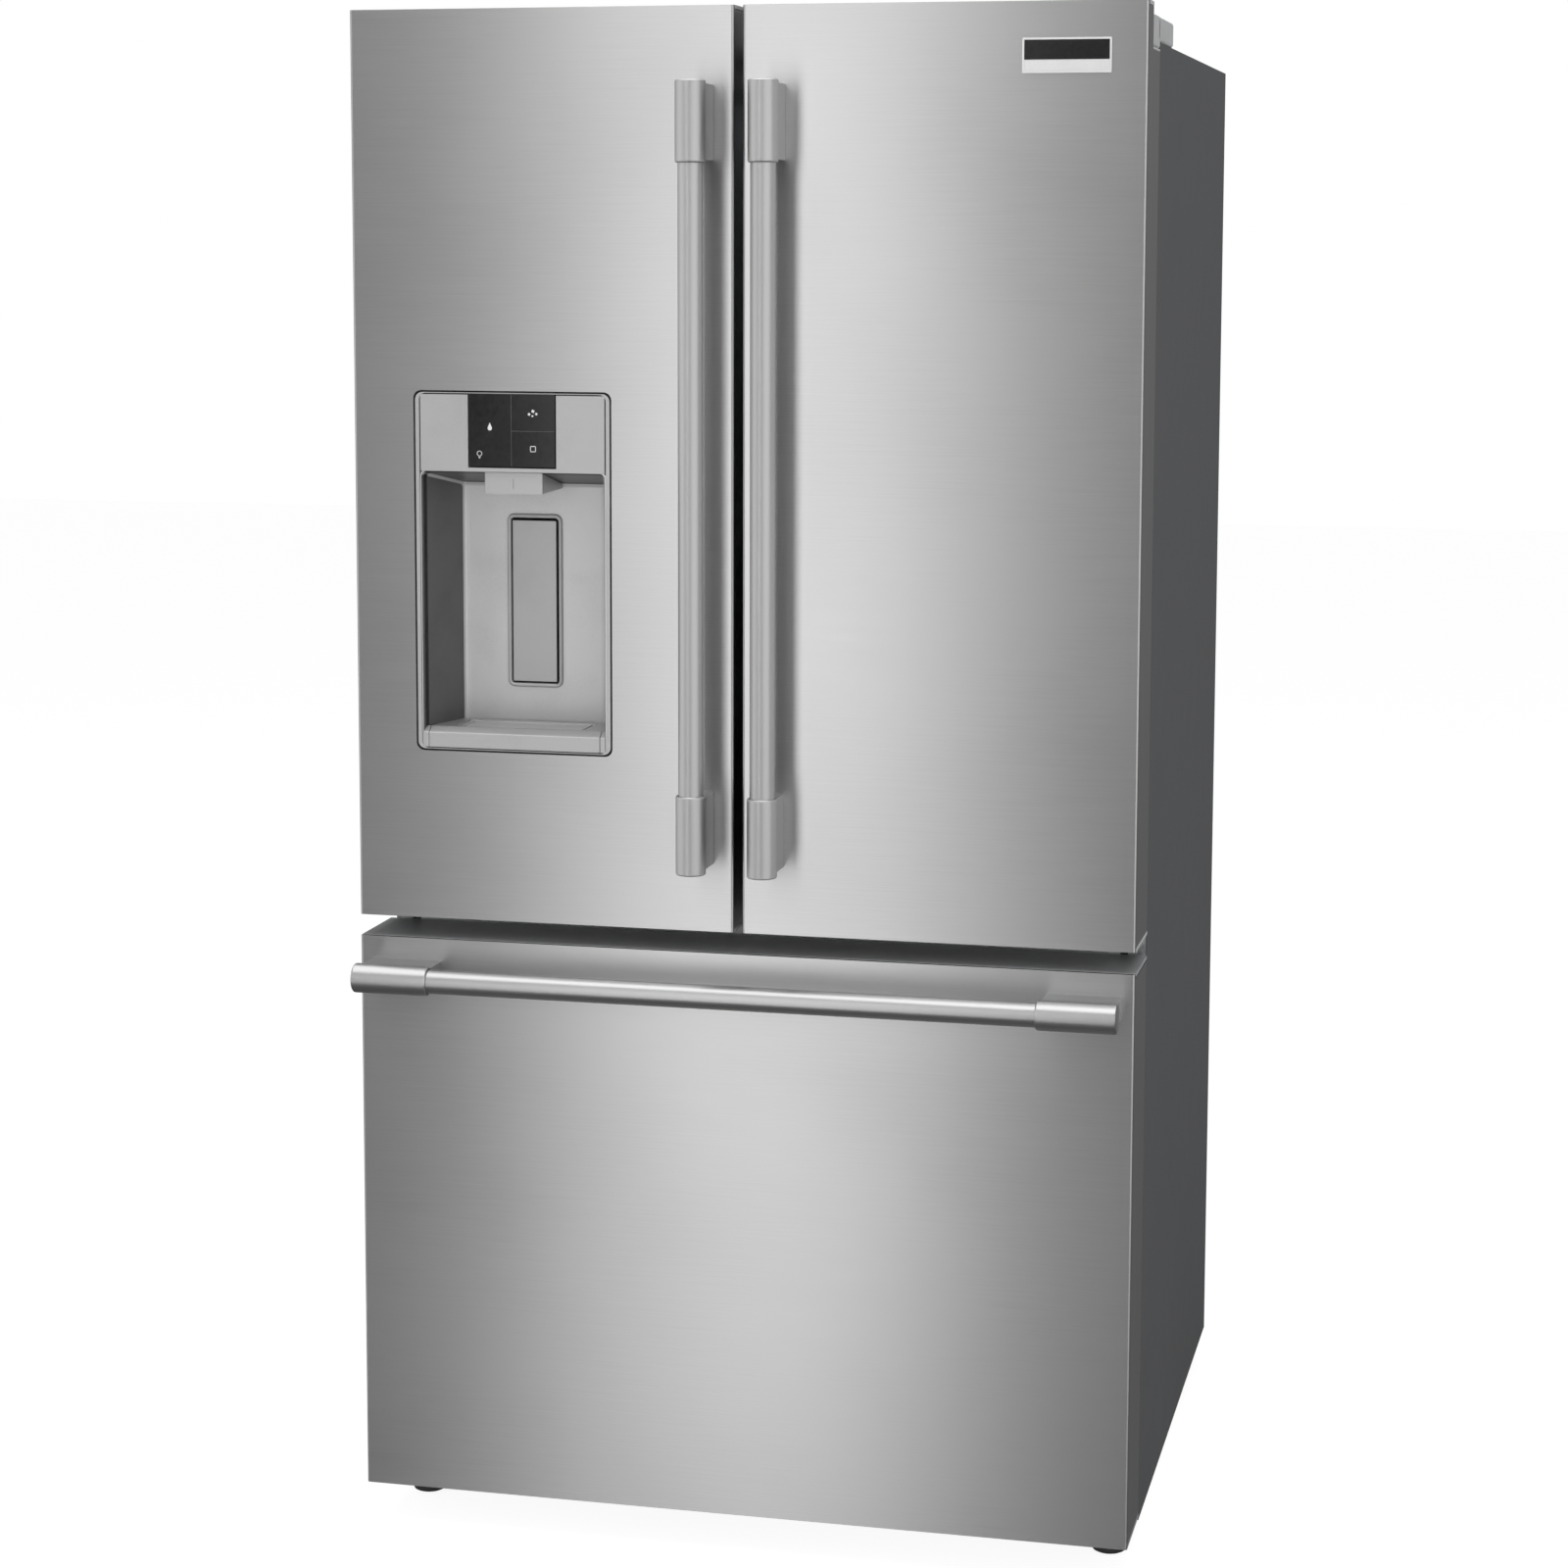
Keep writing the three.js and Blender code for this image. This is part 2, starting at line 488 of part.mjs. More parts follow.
function crisper(side) {
  const xs = [4, shelfHalf - 2];
  const front = CASE_FRONT + CRISPER_SETBACK;
  const rear = ROOM_REAR - CRISPER_REAR_CLEAR;
  const z0 = FRESH_BOTTOM + CRISPER_LIFT;
  const wallX = [xs[0] + CRISPER_WALL, xs[1] - CRISPER_WALL];
  const body = box([side * xs[0], side * xs[1]], [front, rear], [z0, crisperTop])
    .subtract(box([side * wallX[0], side * wallX[1]], [front + 10, rear - CRISPER_WALL],
      [z0 + CRISPER_WALL, crisperTop + 1]))
    .subtract(box([side * (xs[0] + 60), side * (xs[1] - 60)], [front - 1, front + 6],
      [crisperTop - 34, crisperTop - 8]));
  return part(`crisper_${sideName(side)}`, body, 'clear');
}

// ---------------------------------------------------------------- door panels
function slabOutline(x0, x1, inset, rear) {
  const radius = EDGE_RADIUS - inset;
  const front = DOOR_FRONT + inset;
  const [a, b] = [x0 + inset, x1 - inset];
  const outline = new THREE.Shape();
  outline.moveTo(a, rear);
  outline.lineTo(a, front + radius);
  outline.absarc(a + radius, front + radius, radius, Math.PI, Math.PI * 1.5, false);
  outline.lineTo(b - radius, front);
  outline.absarc(b - radius, front + radius, radius, Math.PI * 1.5, Math.PI * 2, false);
  outline.lineTo(b, rear);
  outline.closePath();
  return outline;
}

// Skin wrapped round front and sides, and the foamed body with its two end caps.
function panel(x0, x1, z0, z1) {
  const inset = SHEET + GAP;
  const skin = upright(slabOutline(x0, x1, 0, DOOR_REAR - 2), z0 + CAP, z1 - CAP)
    .subtract(upright(slabOutline(x0, x1, SHEET, DOOR_REAR + 2), z0, z1));
  const core = upright(slabOutline(x0, x1, inset, DOOR_REAR), z0 + 1, z1 - 1)
    .add(upright(slabOutline(x0, x1, 0, DOOR_REAR), z0, z0 + CAP - GAP))
    .add(upright(slabOutline(x0, x1, 0, DOOR_REAR), z1 - CAP + GAP, z1));
  return { skin, core };
}

function gasketRing(x0, x1, z0, z1) {
  const ys = [DOOR_REAR + GAP, CASE_FRONT - 0.5];
  const w = GASKET_WIDTH;
  return box([x0, x1], ys, [z0, z1])
    .subtract(box([x0 + w, x1 - w], [ys[0] - 1, ys[1] + 1], [z0 + w, z1 - w]));
}

function barHandle(prefix, ends, level) {
  // Modelled upright at x = 0 behind its own axis, then laid down for the drawer.
  const [low, high] = ends;
  const mount = (z0, z1, mouth) => {
    const barrel = rod(MOUNT_R, [0, HANDLE_Y, z0], [0, HANDLE_Y, z1]);
    const stem = box([-STEM_WIDTH / 2, STEM_WIDTH / 2], [HANDLE_Y, DOOR_FRONT - GAP], [z0 + 2, z1 - 2]);
    const away = mouth > (z0 + z1) / 2 ? 1 : -1;
    const socket = rod(BAR_R + GAP, [0, HANDLE_Y, mouth - away * (SOCKET_DEPTH + GAP)], [0, HANDLE_Y, mouth + away]);
    return barrel.add(stem).subtract(socket);
  };
  const reach = MOUNT_LENGTH - SOCKET_DEPTH;
  const names = level ? ['left', 'right'] : ['bottom', 'top'];
  return [
    part(`${prefix}_handle_bar`, rod(BAR_R, [0, HANDLE_Y, low + reach], [0, HANDLE_Y, high - reach]), 'handle'),
    part(`${prefix}_handle_mount_${names[0]}`, mount(low, low + MOUNT_LENGTH, low + MOUNT_LENGTH), 'handle'),
    part(`${prefix}_handle_mount_${names[1]}`, mount(high - MOUNT_LENGTH, high, high - MOUNT_LENGTH), 'handle'),
  ];
}

function doorSpan(side) {
  const xs = [side * DOOR_GAP / 2, side * WIDTH / 2];
  return side < 0 ? [xs[1], xs[0]] : xs;
}

const dyke = {
  outer: ROOM_HALF - DYKE_CLEAR,
  inner: MULLION_AXIS_X + 18,
  rear: DOOR_REAR + DYKE_DEPTH,
  z: [FRESH_BOTTOM + 12, FRESH_TOP - 12],
};

function innerDoor(side, core) {
  const { outer, inner, rear, z } = dyke;
  const x = side * HINGE_X;
  const ring = box([side * inner, side * outer], [DOOR_REAR - 1, rear], z)
    .subtract(box([side * (inner + DYKE_WALL), side * (outer - DYKE_WALL)], [DOOR_REAR, rear + 1],
      [z[0] + DYKE_WALL, z[1] - DYKE_WALL]));
  const notch = box([side * (HINGE_X - NOTCH_SIDE), side * (WIDTH / 2 + 1)],
    [HINGE_Y - NOTCH_FRONT, DOOR_REAR + 1], [NOTCH_FLOOR, HEIGHT + 1]);
  const pins = rod(PIN_R + PIN_CLEAR, [x, HINGE_Y, NOTCH_FLOOR - 32], [x, HINGE_Y, NOTCH_FLOOR + 1], 16)
    .add(rod(PIN_R + PIN_CLEAR - 0.5, [x, HINGE_Y, DOOR_BOTTOM - 1], [x, HINGE_Y, DOOR_BOTTOM + 28], 16));
  return { body: core.add(ring).subtract(notch).subtract(pins), notch };
}

function doorBin(side, front, z) {
  const xs = [dyke.inner + DYKE_WALL + 1, dyke.outer - DYKE_WALL - 1];
  const ys = [front, DOOR_REAR + 1 + BIN_DEPTH];
  const w = BIN_WALL;
  const bin = box([side * xs[0], side * xs[1]], ys, [z, z + BIN_HEIGHT])
    .subtract(box([side * (xs[0] + w), side * (xs[1] - w)], [ys[0] + w, ys[1] - w], [z + w, z + BIN_HEIGHT + 1]))
    .subtract(box([side * xs[0], side * xs[1]].map((v) => v * 1.01), [ys[0] - 1, ys[1] - 30],
      [z + BIN_HEIGHT - 25, z + BIN_HEIGHT + 1]));
  return part(`${sideName(side)}_door_bin`, bin, 'clear');
}

// ---------------------------------------------------------------- dispenser in the left door
const disp = {
  x: [-WIDTH / 2 + DISP_OUTER_INSET, -WIDTH / 2 + DISP_OUTER_INSET + DISP_WIDTH],
  z: [DOOR_BOTTOM + DISP_RISE, DOOR_BOTTOM + DISP_RISE + DISP_HEIGHT],
  mid: -WIDTH / 2 + DISP_OUTER_INSET + DISP_WIDTH / 2,
  back: DOOR_FRONT + DISP_DEPTH,
};
disp.fascia = disp.z[1] - FASCIA_HEIGHT;
const bulgeRear = disp.back + PADDLE_POCKET + CAVITY_WALL + 1 + BULGE_WALL;
disp.paddle = [disp.z[0] + PADDLE_RISE, disp.z[0] + PADDLE_RISE + PADDLE_HEIGHT];

// The space inside the recess, its walls moved out by grow.
function recess(grow) {
  const [x0, x1] = [disp.x[0] + DISP_BORDER, disp.x[1] - DISP_BORDER];
  const low = disp.z[0] + DISP_EDGE;
  const front = { x: [x0 - grow, x1 + grow], z: [low - grow, disp.fascia + grow] };
  const rear = {
    x: [x0 + DISP_DRAFT - grow, x1 - DISP_DRAFT + grow],
    z: [low + 6 - grow, disp.fascia - CEILING_DROP + grow],
  };
  return taper(front, rear, DOOR_FRONT - 1, disp.back + grow);
}

function dispenser() {
  const half = PADDLE_WIDTH / 2;
  const bore = half + 1;
  const [low, high] = disp.paddle;
  const pinZ = high - 5;
  const pinY = disp.back + 2;
  const pocketRear = disp.back + PADDLE_POCKET;
  const wall = CAVITY_WALL;
  const rimX = half + PADDLE_RIM;
  const glassX = [disp.mid - GLASS_WIDTH / 2, disp.mid + GLASS_WIDTH / 2];
  const glassZ = [disp.z[1] - DISP_EDGE - GLASS_HEIGHT, disp.z[1] - DISP_EDGE];
  const glassY = [DOOR_FRONT - 0.3, DOOR_FRONT - 0.3 + GLASS_THICK];
  const plate = roundedFrame(disp.x[0] + 0.5, disp.x[1] - 0.5, disp.z[0] + 0.5, disp.z[1] - 0.5,
    DISP_CORNER, DOOR_FRONT - 0.5, DOOR_FRONT + 14);
  const housing = plate.add(recess(wall).subtract(box([-WIDTH, WIDTH], [DOOR_FRONT - 9, DOOR_FRONT + 13], [0, HEIGHT])))
    .add(box([disp.mid - bore - wall, disp.mid + bore + wall], [disp.back, pocketRear + wall],
      [low - 1.5 - wall, high + 2 + wall]))
    .subtract(recess(0))
    .add(roundedFrame(disp.mid - rimX, disp.mid + rimX, low - 5, high + 6, 7, disp.back - 3, disp.back + 1))
    .subtract(box([disp.mid - bore, disp.mid + bore], [disp.back - 9, pocketRear], [low - 1.5, high + 2]))
    .subtract(rod(PADDLE_PIN_R + GAP, [disp.mid - bore - wall, pinY, pinZ], [disp.mid + bore + wall, pinY, pinZ], 12))
    .subtract(box([glassX[0] - GAP, glassX[1] + GAP], [DOOR_FRONT - 2, glassY[1] + GAP],
      [glassZ[0] - GAP, glassZ[1] + GAP]));
  const glass = box(glassX, glassY, glassZ);
  const ceiling = (y) => disp.fascia - CEILING_DROP * (y - DOOR_FRONT + 1) / (DISP_DEPTH + 1) - GAP;
  const nozzleY = [DOOR_FRONT + NOZZLE_SETBACK, disp.back - 4];
  const nozzleZ = disp.fascia - NOZZLE_DROP;
  const nozzle = across([[nozzleY[0], nozzleZ], [nozzleY[1], nozzleZ], [nozzleY[1], ceiling(nozzleY[1])],
    [nozzleY[0], ceiling(nozzleY[0])]], disp.mid - NOZZLE_WIDTH / 2, disp.mid + NOZZLE_WIDTH / 2)
    .subtract(rod(17, [disp.mid, nozzleY[0] + 42, nozzleZ - 1], [disp.mid, nozzleY[0] + 42, nozzleZ + 6], 20));
  const paddle = box([disp.mid - half, disp.mid + half], [disp.back - PADDLE_THICK, disp.back], [low, high])
    .add(box([disp.mid - half + 2, disp.mid + half - 2], [disp.back - 1, pinY + 2], [pinZ - 4, pinZ + 3]))
    .add(rod(PADDLE_PIN_R, [disp.mid - bore - wall + GAP, pinY, pinZ], [disp.mid + bore + wall - GAP, pinY, pinZ], 12));
  const sillZ = disp.z[0] + DISP_EDGE;
  const trayTop = sillZ + SILL_HEIGHT + SILL_CHAMFER - 3;
  const tray = across([[DOOR_FRONT, sillZ], [DOOR_FRONT, sillZ + SILL_HEIGHT - 3], [DOOR_FRONT + SILL_CHAMFER, trayTop],
    [disp.back, trayTop], [disp.back, trayTop - 9], [DOOR_FRONT + 14, trayTop - 9], [DOOR_FRONT + 7, sillZ]],
  disp.x[0], disp.x[1]).intersect(recess(-GAP))
    .subtract(box([disp.mid - 70, disp.mid + 70], [DOOR_FRONT + 22, disp.back - 12], [trayTop - 3, trayTop + 1]));
  return [
    part('dispenser_housing', housing, 'silverPlastic'),
    part('dispenser_glass', glass, 'blackGlass'),
    part('dispenser_nozzle', nozzle, 'silverPlastic'),
    part('dispenser_paddle', paddle, 'silverPlastic'),
    part('drip_tray', tray, 'silverPlastic'),
  ];
}

function mullion() {
  const half = MULLION_THICK / 2;
  const x = -MULLION_AXIS_X;
  const y = CASE_FRONT + MULLION_AXIS_Y;
  const zs = [dyke.z[0] + 8, dyke.z[1] - 8];
  const folded = [x - half, x + half];
  const bar = box(folded, [y - MULLION_HEEL, y - MULLION_HEEL + MULLION_WIDTH], zs)
    .add(rod(3, [x, y, zs[0] - 7], [x, y, zs[1] + 7], 12));
  const ears = [[zs[0] - 8, zs[0] - GAP], [zs[1] + GAP, zs[1] + 8]].map((z) => box(
    [x - 19, x + 7.5], [DOOR_REAR - 1, y + 8], z).subtract(rod(3.5, [x, y, z[0] - 1], [x, y, z[1] + 1], 12)));
  return { bar, ears };
}

function frenchDoor(side) {
  const name = sideName(side);
  const [x0, x1] = doorSpan(side);
  const { skin, core } = panel(x0, x1, DOOR_BOTTOM, HEIGHT);
  let { body, notch } = innerDoor(side, core);
  let sheet = skin.subtract(notch);
  const meshes = [];
  if (side < 0) {
    const { bar, ears } = mullion();
    const bulge = box([disp.x[0] - 20, disp.x[1] + 20], [DOOR_REAR - 1, bulgeRear],
      [disp.z[0] - 20, disp.z[1] + 20]);
    const cut = roundedFrame(...disp.x, ...disp.z, DISP_CORNER, DOOR_FRONT - 1, bulgeRear - BULGE_WALL);
    body = body.add(bulge).add(ears[0]).add(ears[1]).subtract(cut);
    sheet = sheet.subtract(cut);
    meshes.push(part('flipper_mullion', bar, 'greyPlastic'), ...dispenser());
  }
  const gasketX = [side * (HINGE_X - 8), side * (DOOR_GAP / 2 + 7)].sort((a, b) => a - b);
  const handle = barHandle(name, [DOOR_BOTTOM + HANDLE_BOTTOM_RISE, HEIGHT - HANDLE_TOP_DROP], false);
  for (const mesh of handle) mesh.position.x = side * HANDLE_X;
  meshes.push(
    part(`${name}_door_skin`, sheet, 'stainless'),
    part(`${name}_door_core`, body, 'liner'),
    part(`${name}_door_gasket`, gasketRing(...gasketX, DOOR_BOTTOM + 8, CASE_TOP - FLANGE + 8), 'rubber'),
    side < 0 ? doorBin(side, bulgeRear + 1, dyke.z[1] - DYKE_WALL - BIN_HEIGHT - 60)
      : doorBin(side, DOOR_REAR + 1, FRESH_BOTTOM + 240),
    ...handle,
  );
  return meshes;
}

// ---------------------------------------------------------------- freezer drawer
const slideZ = FREEZER_BOTTOM + SLIDE_RISE;
const slideFront = CASE_FRONT + 10;
const slideRear = STEP_Y - SLIDE_REAR_CLEAR;
const nest = {
  fixed: { x: [ROOM_HALF - GAP - SLIDE_DEPTH, ROOM_HALF - GAP], z: [slideZ, slideZ + SLIDE_HEIGHT] },
};
nest.middle = {
  x: [nest.fixed.x[0] - 6, nest.fixed.x[1] - SLIDE_SHEET - 1.7],
  z: [slideZ + SLIDE_SHEET + SLIDE_CLEAR, slideZ + SLIDE_HEIGHT - SLIDE_SHEET - SLIDE_CLEAR],
};
nest.inner = {
  x: [nest.middle.x[0] - 9, nest.middle.x[1] - SLIDE_SHEET - 2],
  z: [nest.middle.z[0] + SLIDE_SHEET + SLIDE_CLEAR, nest.middle.z[1] - SLIDE_SHEET - SLIDE_CLEAR],
};
const railWeb = [nest.inner.x[0] - 3, nest.inner.x[0] + 0.5];
const rimZ = nest.middle.z[1] + GAP;
const basketHalf = railWeb[0] - 2;

function channel(side, member) {
  const { x, z } = member;
  return box([side * x[0], side * x[1]], [slideFront, slideRear], z)
    .subtract(box([side * (x[0] - 1), side * (x[1] - SLIDE_SHEET)], [slideFront - 1, slideRear + 1],
      [z[0] + SLIDE_SHEET, z[1] - SLIDE_SHEET]));
}

function drawerFrame() {
  const front = DOOR_REAR + 19 + GAP;
  const rear = slideRear;
  let frame = box([-railWeb[1], railWeb[1]], [rear, rear + 10], [rimZ - 30, rimZ - 14]);
  for (const side of [-1, 1]) {
    frame = frame.add(box([side * railWeb[0], side * railWeb[1]], [front, rear + 10], [rimZ - 38, rimZ - GAP]))
      .add(box([side * nest.inner.x[0], side * nest.inner.x[1]], [slideFront, rear], nest.inner.z))
      .add(box([side * (railWeb[0] - 30), side * railWeb[1]], [front, front + 3], [rimZ - 70, rimZ - GAP]));
  }
  return part('drawer_frame', frame, 'zinc');
}

function tub(half, ys, zs, wall) {
  return box([-half, half], ys, zs)
    .subtract(box([-half + wall, half - wall], [ys[0] + wall, ys[1] - wall], [zs[0] + wall, zs[1] + 1]));
}

function baskets() {
  const w = BASKET_WALL;
  const ys = [DOOR_REAR + 31, slideRear - BASKET_REAR_CLEAR];
  const rimHalf = nest.middle.x[0] - 2;
  const rim = box([-rimHalf, rimHalf], ys, [rimZ, rimZ + 4])
    .subtract(box([-basketHalf + w, basketHalf - w], [ys[0] + w, ys[1] - w], [rimZ - 1, rimZ + 5]));
  const lower = tub(basketHalf, ys, [rimZ - BASKET_DROP, rimZ + 1], w).add(rim);
  const upperY = [ys[0] + 8, ys[0] + 8 + UPPER_BASKET_DEPTH];
  const upperZ = [rimZ + 5, rimZ + 5 + UPPER_BASKET_HEIGHT];
  const inside = basketHalf - 10;
  const runner = (side) => box([side * (inside - 1), side * (rimHalf - 1)], upperY, [upperZ[0], upperZ[0] + 4]);
  const upper = tub(inside, upperY, upperZ, w).add(runner(-1)).add(runner(1));
  return [part('freezer_basket_lower', lower, 'clear'), part('freezer_basket_upper', upper, 'clear')];
}

function freezerDrawer() {
  const half = WIDTH / 2;
  const { skin, core } = panel(-half, half, DRAWER_BOTTOM, DRAWER_TOP);
  const plug = box([-ROOM_HALF + 19, ROOM_HALF - 19], [DOOR_REAR - 1, DOOR_REAR + 19],
    [FREEZER_BOTTOM + 15, FREEZER_TOP - 14]);
  const reach = half - DRAWER_HANDLE_INSET;
  const handle = barHandle('drawer', [-reach, reach], true);
  for (const mesh of handle) {
    mesh.rotation.y = Math.PI / 2;
    mesh.position.z = DRAWER_TOP - DRAWER_HANDLE_DROP;
  }
  const meshes = [
    part('drawer_skin', skin, 'stainless'),
    part('drawer_core', core.add(plug), 'liner'),
    part('drawer_gasket', gasketRing(-HINGE_X + 8, HINGE_X - 8, CASE_BOTTOM + 20, DRAWER_TOP - 6), 'rubber'),
    drawerFrame(),
    ...baskets(),
    ...handle,
  ];
  for (const side of [-1, 1]) {
    meshes.push(
      part(`slide_rail_${sideName(side)}`, channel(side, nest.fixed), 'zinc'),
      part(`rail_middle_${sideName(side)}`, channel(side, nest.middle), 'zinc'),
    );
  }
  return meshes;
}

// ---------------------------------------------------------------- assembly
const refrigerator = new THREE.Group();
const cabinet = new THREE.Group();
cabinet.add(...cabinetShell(), ...linersAndFoam(), baseFrame(), ...machineRoom(), ...freshFittings());
for (const side of [-1, 1]) {
  cabinet.add(...footAndRoller(side), ...hingeSet(side), crisper(side));
}
refrigerator.add(cabinet);
for (const side of [-1, 1]) {
  const door = new THREE.Group();
  door.add(...frenchDoor(side));
  refrigerator.add(door);
}
const drawer = new THREE.Group();
drawer.add(...freezerDrawer());
refrigerator.add(drawer);
refrigerator.updateMatrixWorld(true);

export default refrigerator;
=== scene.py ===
"""French door refrigerator with a bottom freezer drawer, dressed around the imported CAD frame.
Sizes are millimetres and are turned to metres where a mesh is made; +X right, front towards -Y, +Z up."""
import math
import bpy
import bmesh
from mathutils import Matrix, Vector


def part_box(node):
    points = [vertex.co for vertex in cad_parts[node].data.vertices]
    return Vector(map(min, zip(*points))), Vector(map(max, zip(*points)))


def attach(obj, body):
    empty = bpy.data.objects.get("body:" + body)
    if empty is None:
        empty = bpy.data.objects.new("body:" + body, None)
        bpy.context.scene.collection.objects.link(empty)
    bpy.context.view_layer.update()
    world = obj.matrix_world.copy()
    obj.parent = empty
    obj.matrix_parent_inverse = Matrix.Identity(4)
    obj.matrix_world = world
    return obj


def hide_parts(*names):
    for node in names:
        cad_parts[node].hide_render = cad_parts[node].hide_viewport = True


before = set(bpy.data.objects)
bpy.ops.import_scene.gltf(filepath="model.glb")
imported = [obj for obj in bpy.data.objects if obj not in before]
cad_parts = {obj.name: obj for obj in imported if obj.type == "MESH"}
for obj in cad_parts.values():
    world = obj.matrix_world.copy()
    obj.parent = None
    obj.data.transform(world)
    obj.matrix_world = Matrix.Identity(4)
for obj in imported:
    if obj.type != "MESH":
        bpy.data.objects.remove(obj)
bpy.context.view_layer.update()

# ---------------------------------------------------------------- studio
# A pale seamless floor in an even white room. One tall soft box in front gives the bright band
# down the brushed fronts, two wide ones at the sides light the round bars, one hangs overhead.
FLOOR_HALF = 14         # metres


def linear(code):
    """An sRGB hex colour as linear RGBA."""
    def channel(pair):
        value = int(pair, 16) / 255
        return value / 12.92 if value <= 0.04045 else ((value + 0.055) / 1.055) ** 2.4
    return (*[channel(code[i:i + 2]) for i in (1, 3, 5)], 1.0)


def put(tree, kind, values=None, links=None, **settings):
    """Adds a node: settings are its options, values its own inputs, links the outputs that feed it."""
    made = tree.nodes.new(kind)
    for key, value in settings.items():
        setattr(made, key, value)
    for key, value in (values or {}).items():
        made.inputs[key].default_value = value
    for key, source in (links or {}).items():
        tree.links.new(source, made.inputs[key])
    return made


scene = bpy.context.scene
scene.view_settings.view_transform = "Standard"

LENS = 77.03
CAMERA_AT = Vector((0.9039, -4.0269, 1.5224))
YAW, PITCH, ROLL = (math.radians(angle) for angle in (13.145, 6.62, 0.133))
forward = Vector((-math.sin(YAW) * math.cos(PITCH), math.cos(YAW) * math.cos(PITCH), -math.sin(PITCH)))
level = Vector((math.cos(YAW), math.sin(YAW), 0))
overhead = level.cross(forward)
right = level * math.cos(ROLL) + overhead * math.sin(ROLL)
upward = overhead * math.cos(ROLL) - level * math.sin(ROLL)
lens = bpy.data.cameras.new("camera")
lens.sensor_width = 36
lens.lens = LENS
lens.shift_y = -0.10
camera = bpy.data.objects.new("camera", lens)
camera.matrix_world = Matrix.Translation(CAMERA_AT) @ Matrix((right, upward, -forward)).transposed().to_4x4()
scene.collection.objects.link(camera)
scene.camera = camera

ROOM_LIGHT = 0.42       # what the room gives to dull surfaces
ROOM_SHEEN = (0.07, 0.25)   # and what polished ones mirror of it, low down and high up
world = bpy.data.worlds.new("studio")
world.use_nodes = True
scene.world = world
room = world.node_tree
room.nodes.clear()
seen = put(room, "ShaderNodeBackground", {"Color": linear("#ffffff"), "Strength": 1.0})
cast = put(room, "ShaderNodeBackground", {"Color": linear("#ffffff"), "Strength": ROOM_LIGHT})
sky = put(room, "ShaderNodeSeparateXYZ", links={0: put(room, "ShaderNodeTexCoord").outputs["Generated"]})
fade = put(room, "ShaderNodeMapRange", {"From Min": -0.5, "From Max": 0.5, "To Min": ROOM_SHEEN[0],
                                        "To Max": ROOM_SHEEN[1]}, {"Value": sky.outputs["Z"]})
mirrored = put(room, "ShaderNodeBackground", {"Color": linear("#ffffff")}, {"Strength": fade.outputs[0]})
path = put(room, "ShaderNodeLightPath")
dull = put(room, "ShaderNodeMixShader", links={0: path.outputs["Is Glossy Ray"], 1: cast.outputs[0],
                                               2: mirrored.outputs[0]})
either = put(room, "ShaderNodeMixShader", links={0: path.outputs["Is Camera Ray"], 1: dull.outputs[0],
                                                 2: seen.outputs[0]})
put(room, "ShaderNodeOutputWorld", links={"Surface": either.outputs[0]})


def soft_box(name, at, aim, width, height, glow):
    """A rectangular lamp whose face glows that brightly; white is 1."""
    lamp = bpy.data.lights.new(name, "AREA")
    lamp.shape = "RECTANGLE"
    lamp.size = width
    lamp.size_y = height
    lamp.energy = glow * math.pi * width * height
    made = bpy.data.objects.new(name, lamp)
    made.location = at
    made.rotation_euler = (Vector(aim) - Vector(at)).to_track_quat("-Z", "Y").to_euler()
    scene.collection.objects.link(made)


soft_box("front_box", (-0.93, -4.3, 1.0), (0.0, -0.4, 1.0), 0.85, 6.0, 1.8)
soft_box("left_box", (-3.15, -1.67, 1.2), (0.0, -0.4, 1.1), 3.9, 4.0, 0.75)
soft_box("right_box", (2.76, -2.71, 1.2), (0.0, -0.4, 1.1), 5.2, 4.0, 0.85)
soft_box("top_box", (0.0, -0.6, 4.4), (0.0, -0.5, 0.0), 5.0, 5.0, 1.6)

floor_form = bmesh.new()
bmesh.ops.create_grid(floor_form, x_segments=2, y_segments=2, size=FLOOR_HALF)
floor_mesh = bpy.data.meshes.new("studio_floor")
floor_form.to_mesh(floor_mesh)
floor_form.free()
floor = bpy.data.objects.new("studio_floor", floor_mesh)
scene.collection.objects.link(floor)
floor.visible_glossy = False
floor.visible_shadow = False
floor_paper = bpy.data.materials.new("seamless_paper")
floor_paper.use_nodes = True
paper = floor_paper.node_tree
paper_shader = paper.nodes["Principled BSDF"]
paper_shader.inputs["Base Color"].default_value = linear("#7c7c7c")
paper_shader.inputs["Roughness"].default_value = 0.95
paper_shader.inputs["Specular IOR Level"].default_value = 0.0
paper_shader.inputs["Emission Color"].default_value = linear("#ffffff")
paper_shader.inputs["Emission Strength"].default_value = 0.9
floor_mesh.materials.append(floor_paper)

# ---------------------------------------------------------------- door and drawer skins
# 1 mm ferritic stainless sheet, brushed across, folded round the foam with a tight bend at
# each front edge. The left one is pierced for the dispenser, both are notched at the hinge.
MM = 0.001
STEEL_STREAK = 1.1      # streak height; the real grain is 0.1 mm, drawn coarse so that it shows
STEEL_STREAK_RUN = 90   # streak length
STEEL_STREAK_DEPTH = 0.002


def span(node):
    """A CAD node's lowest and highest corners in millimetres."""
    return [[value / MM for value in corner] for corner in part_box(node)]


def shader_tree(name):
    """A new material, its empty node tree and the coordinates of the piece in metres."""
    made = bpy.data.materials.new(name)
    made.use_nodes = True
    tree = made.node_tree
    tree.nodes.clear()
    return made, tree, put(tree, "ShaderNodeTexCoord").outputs["Object"]


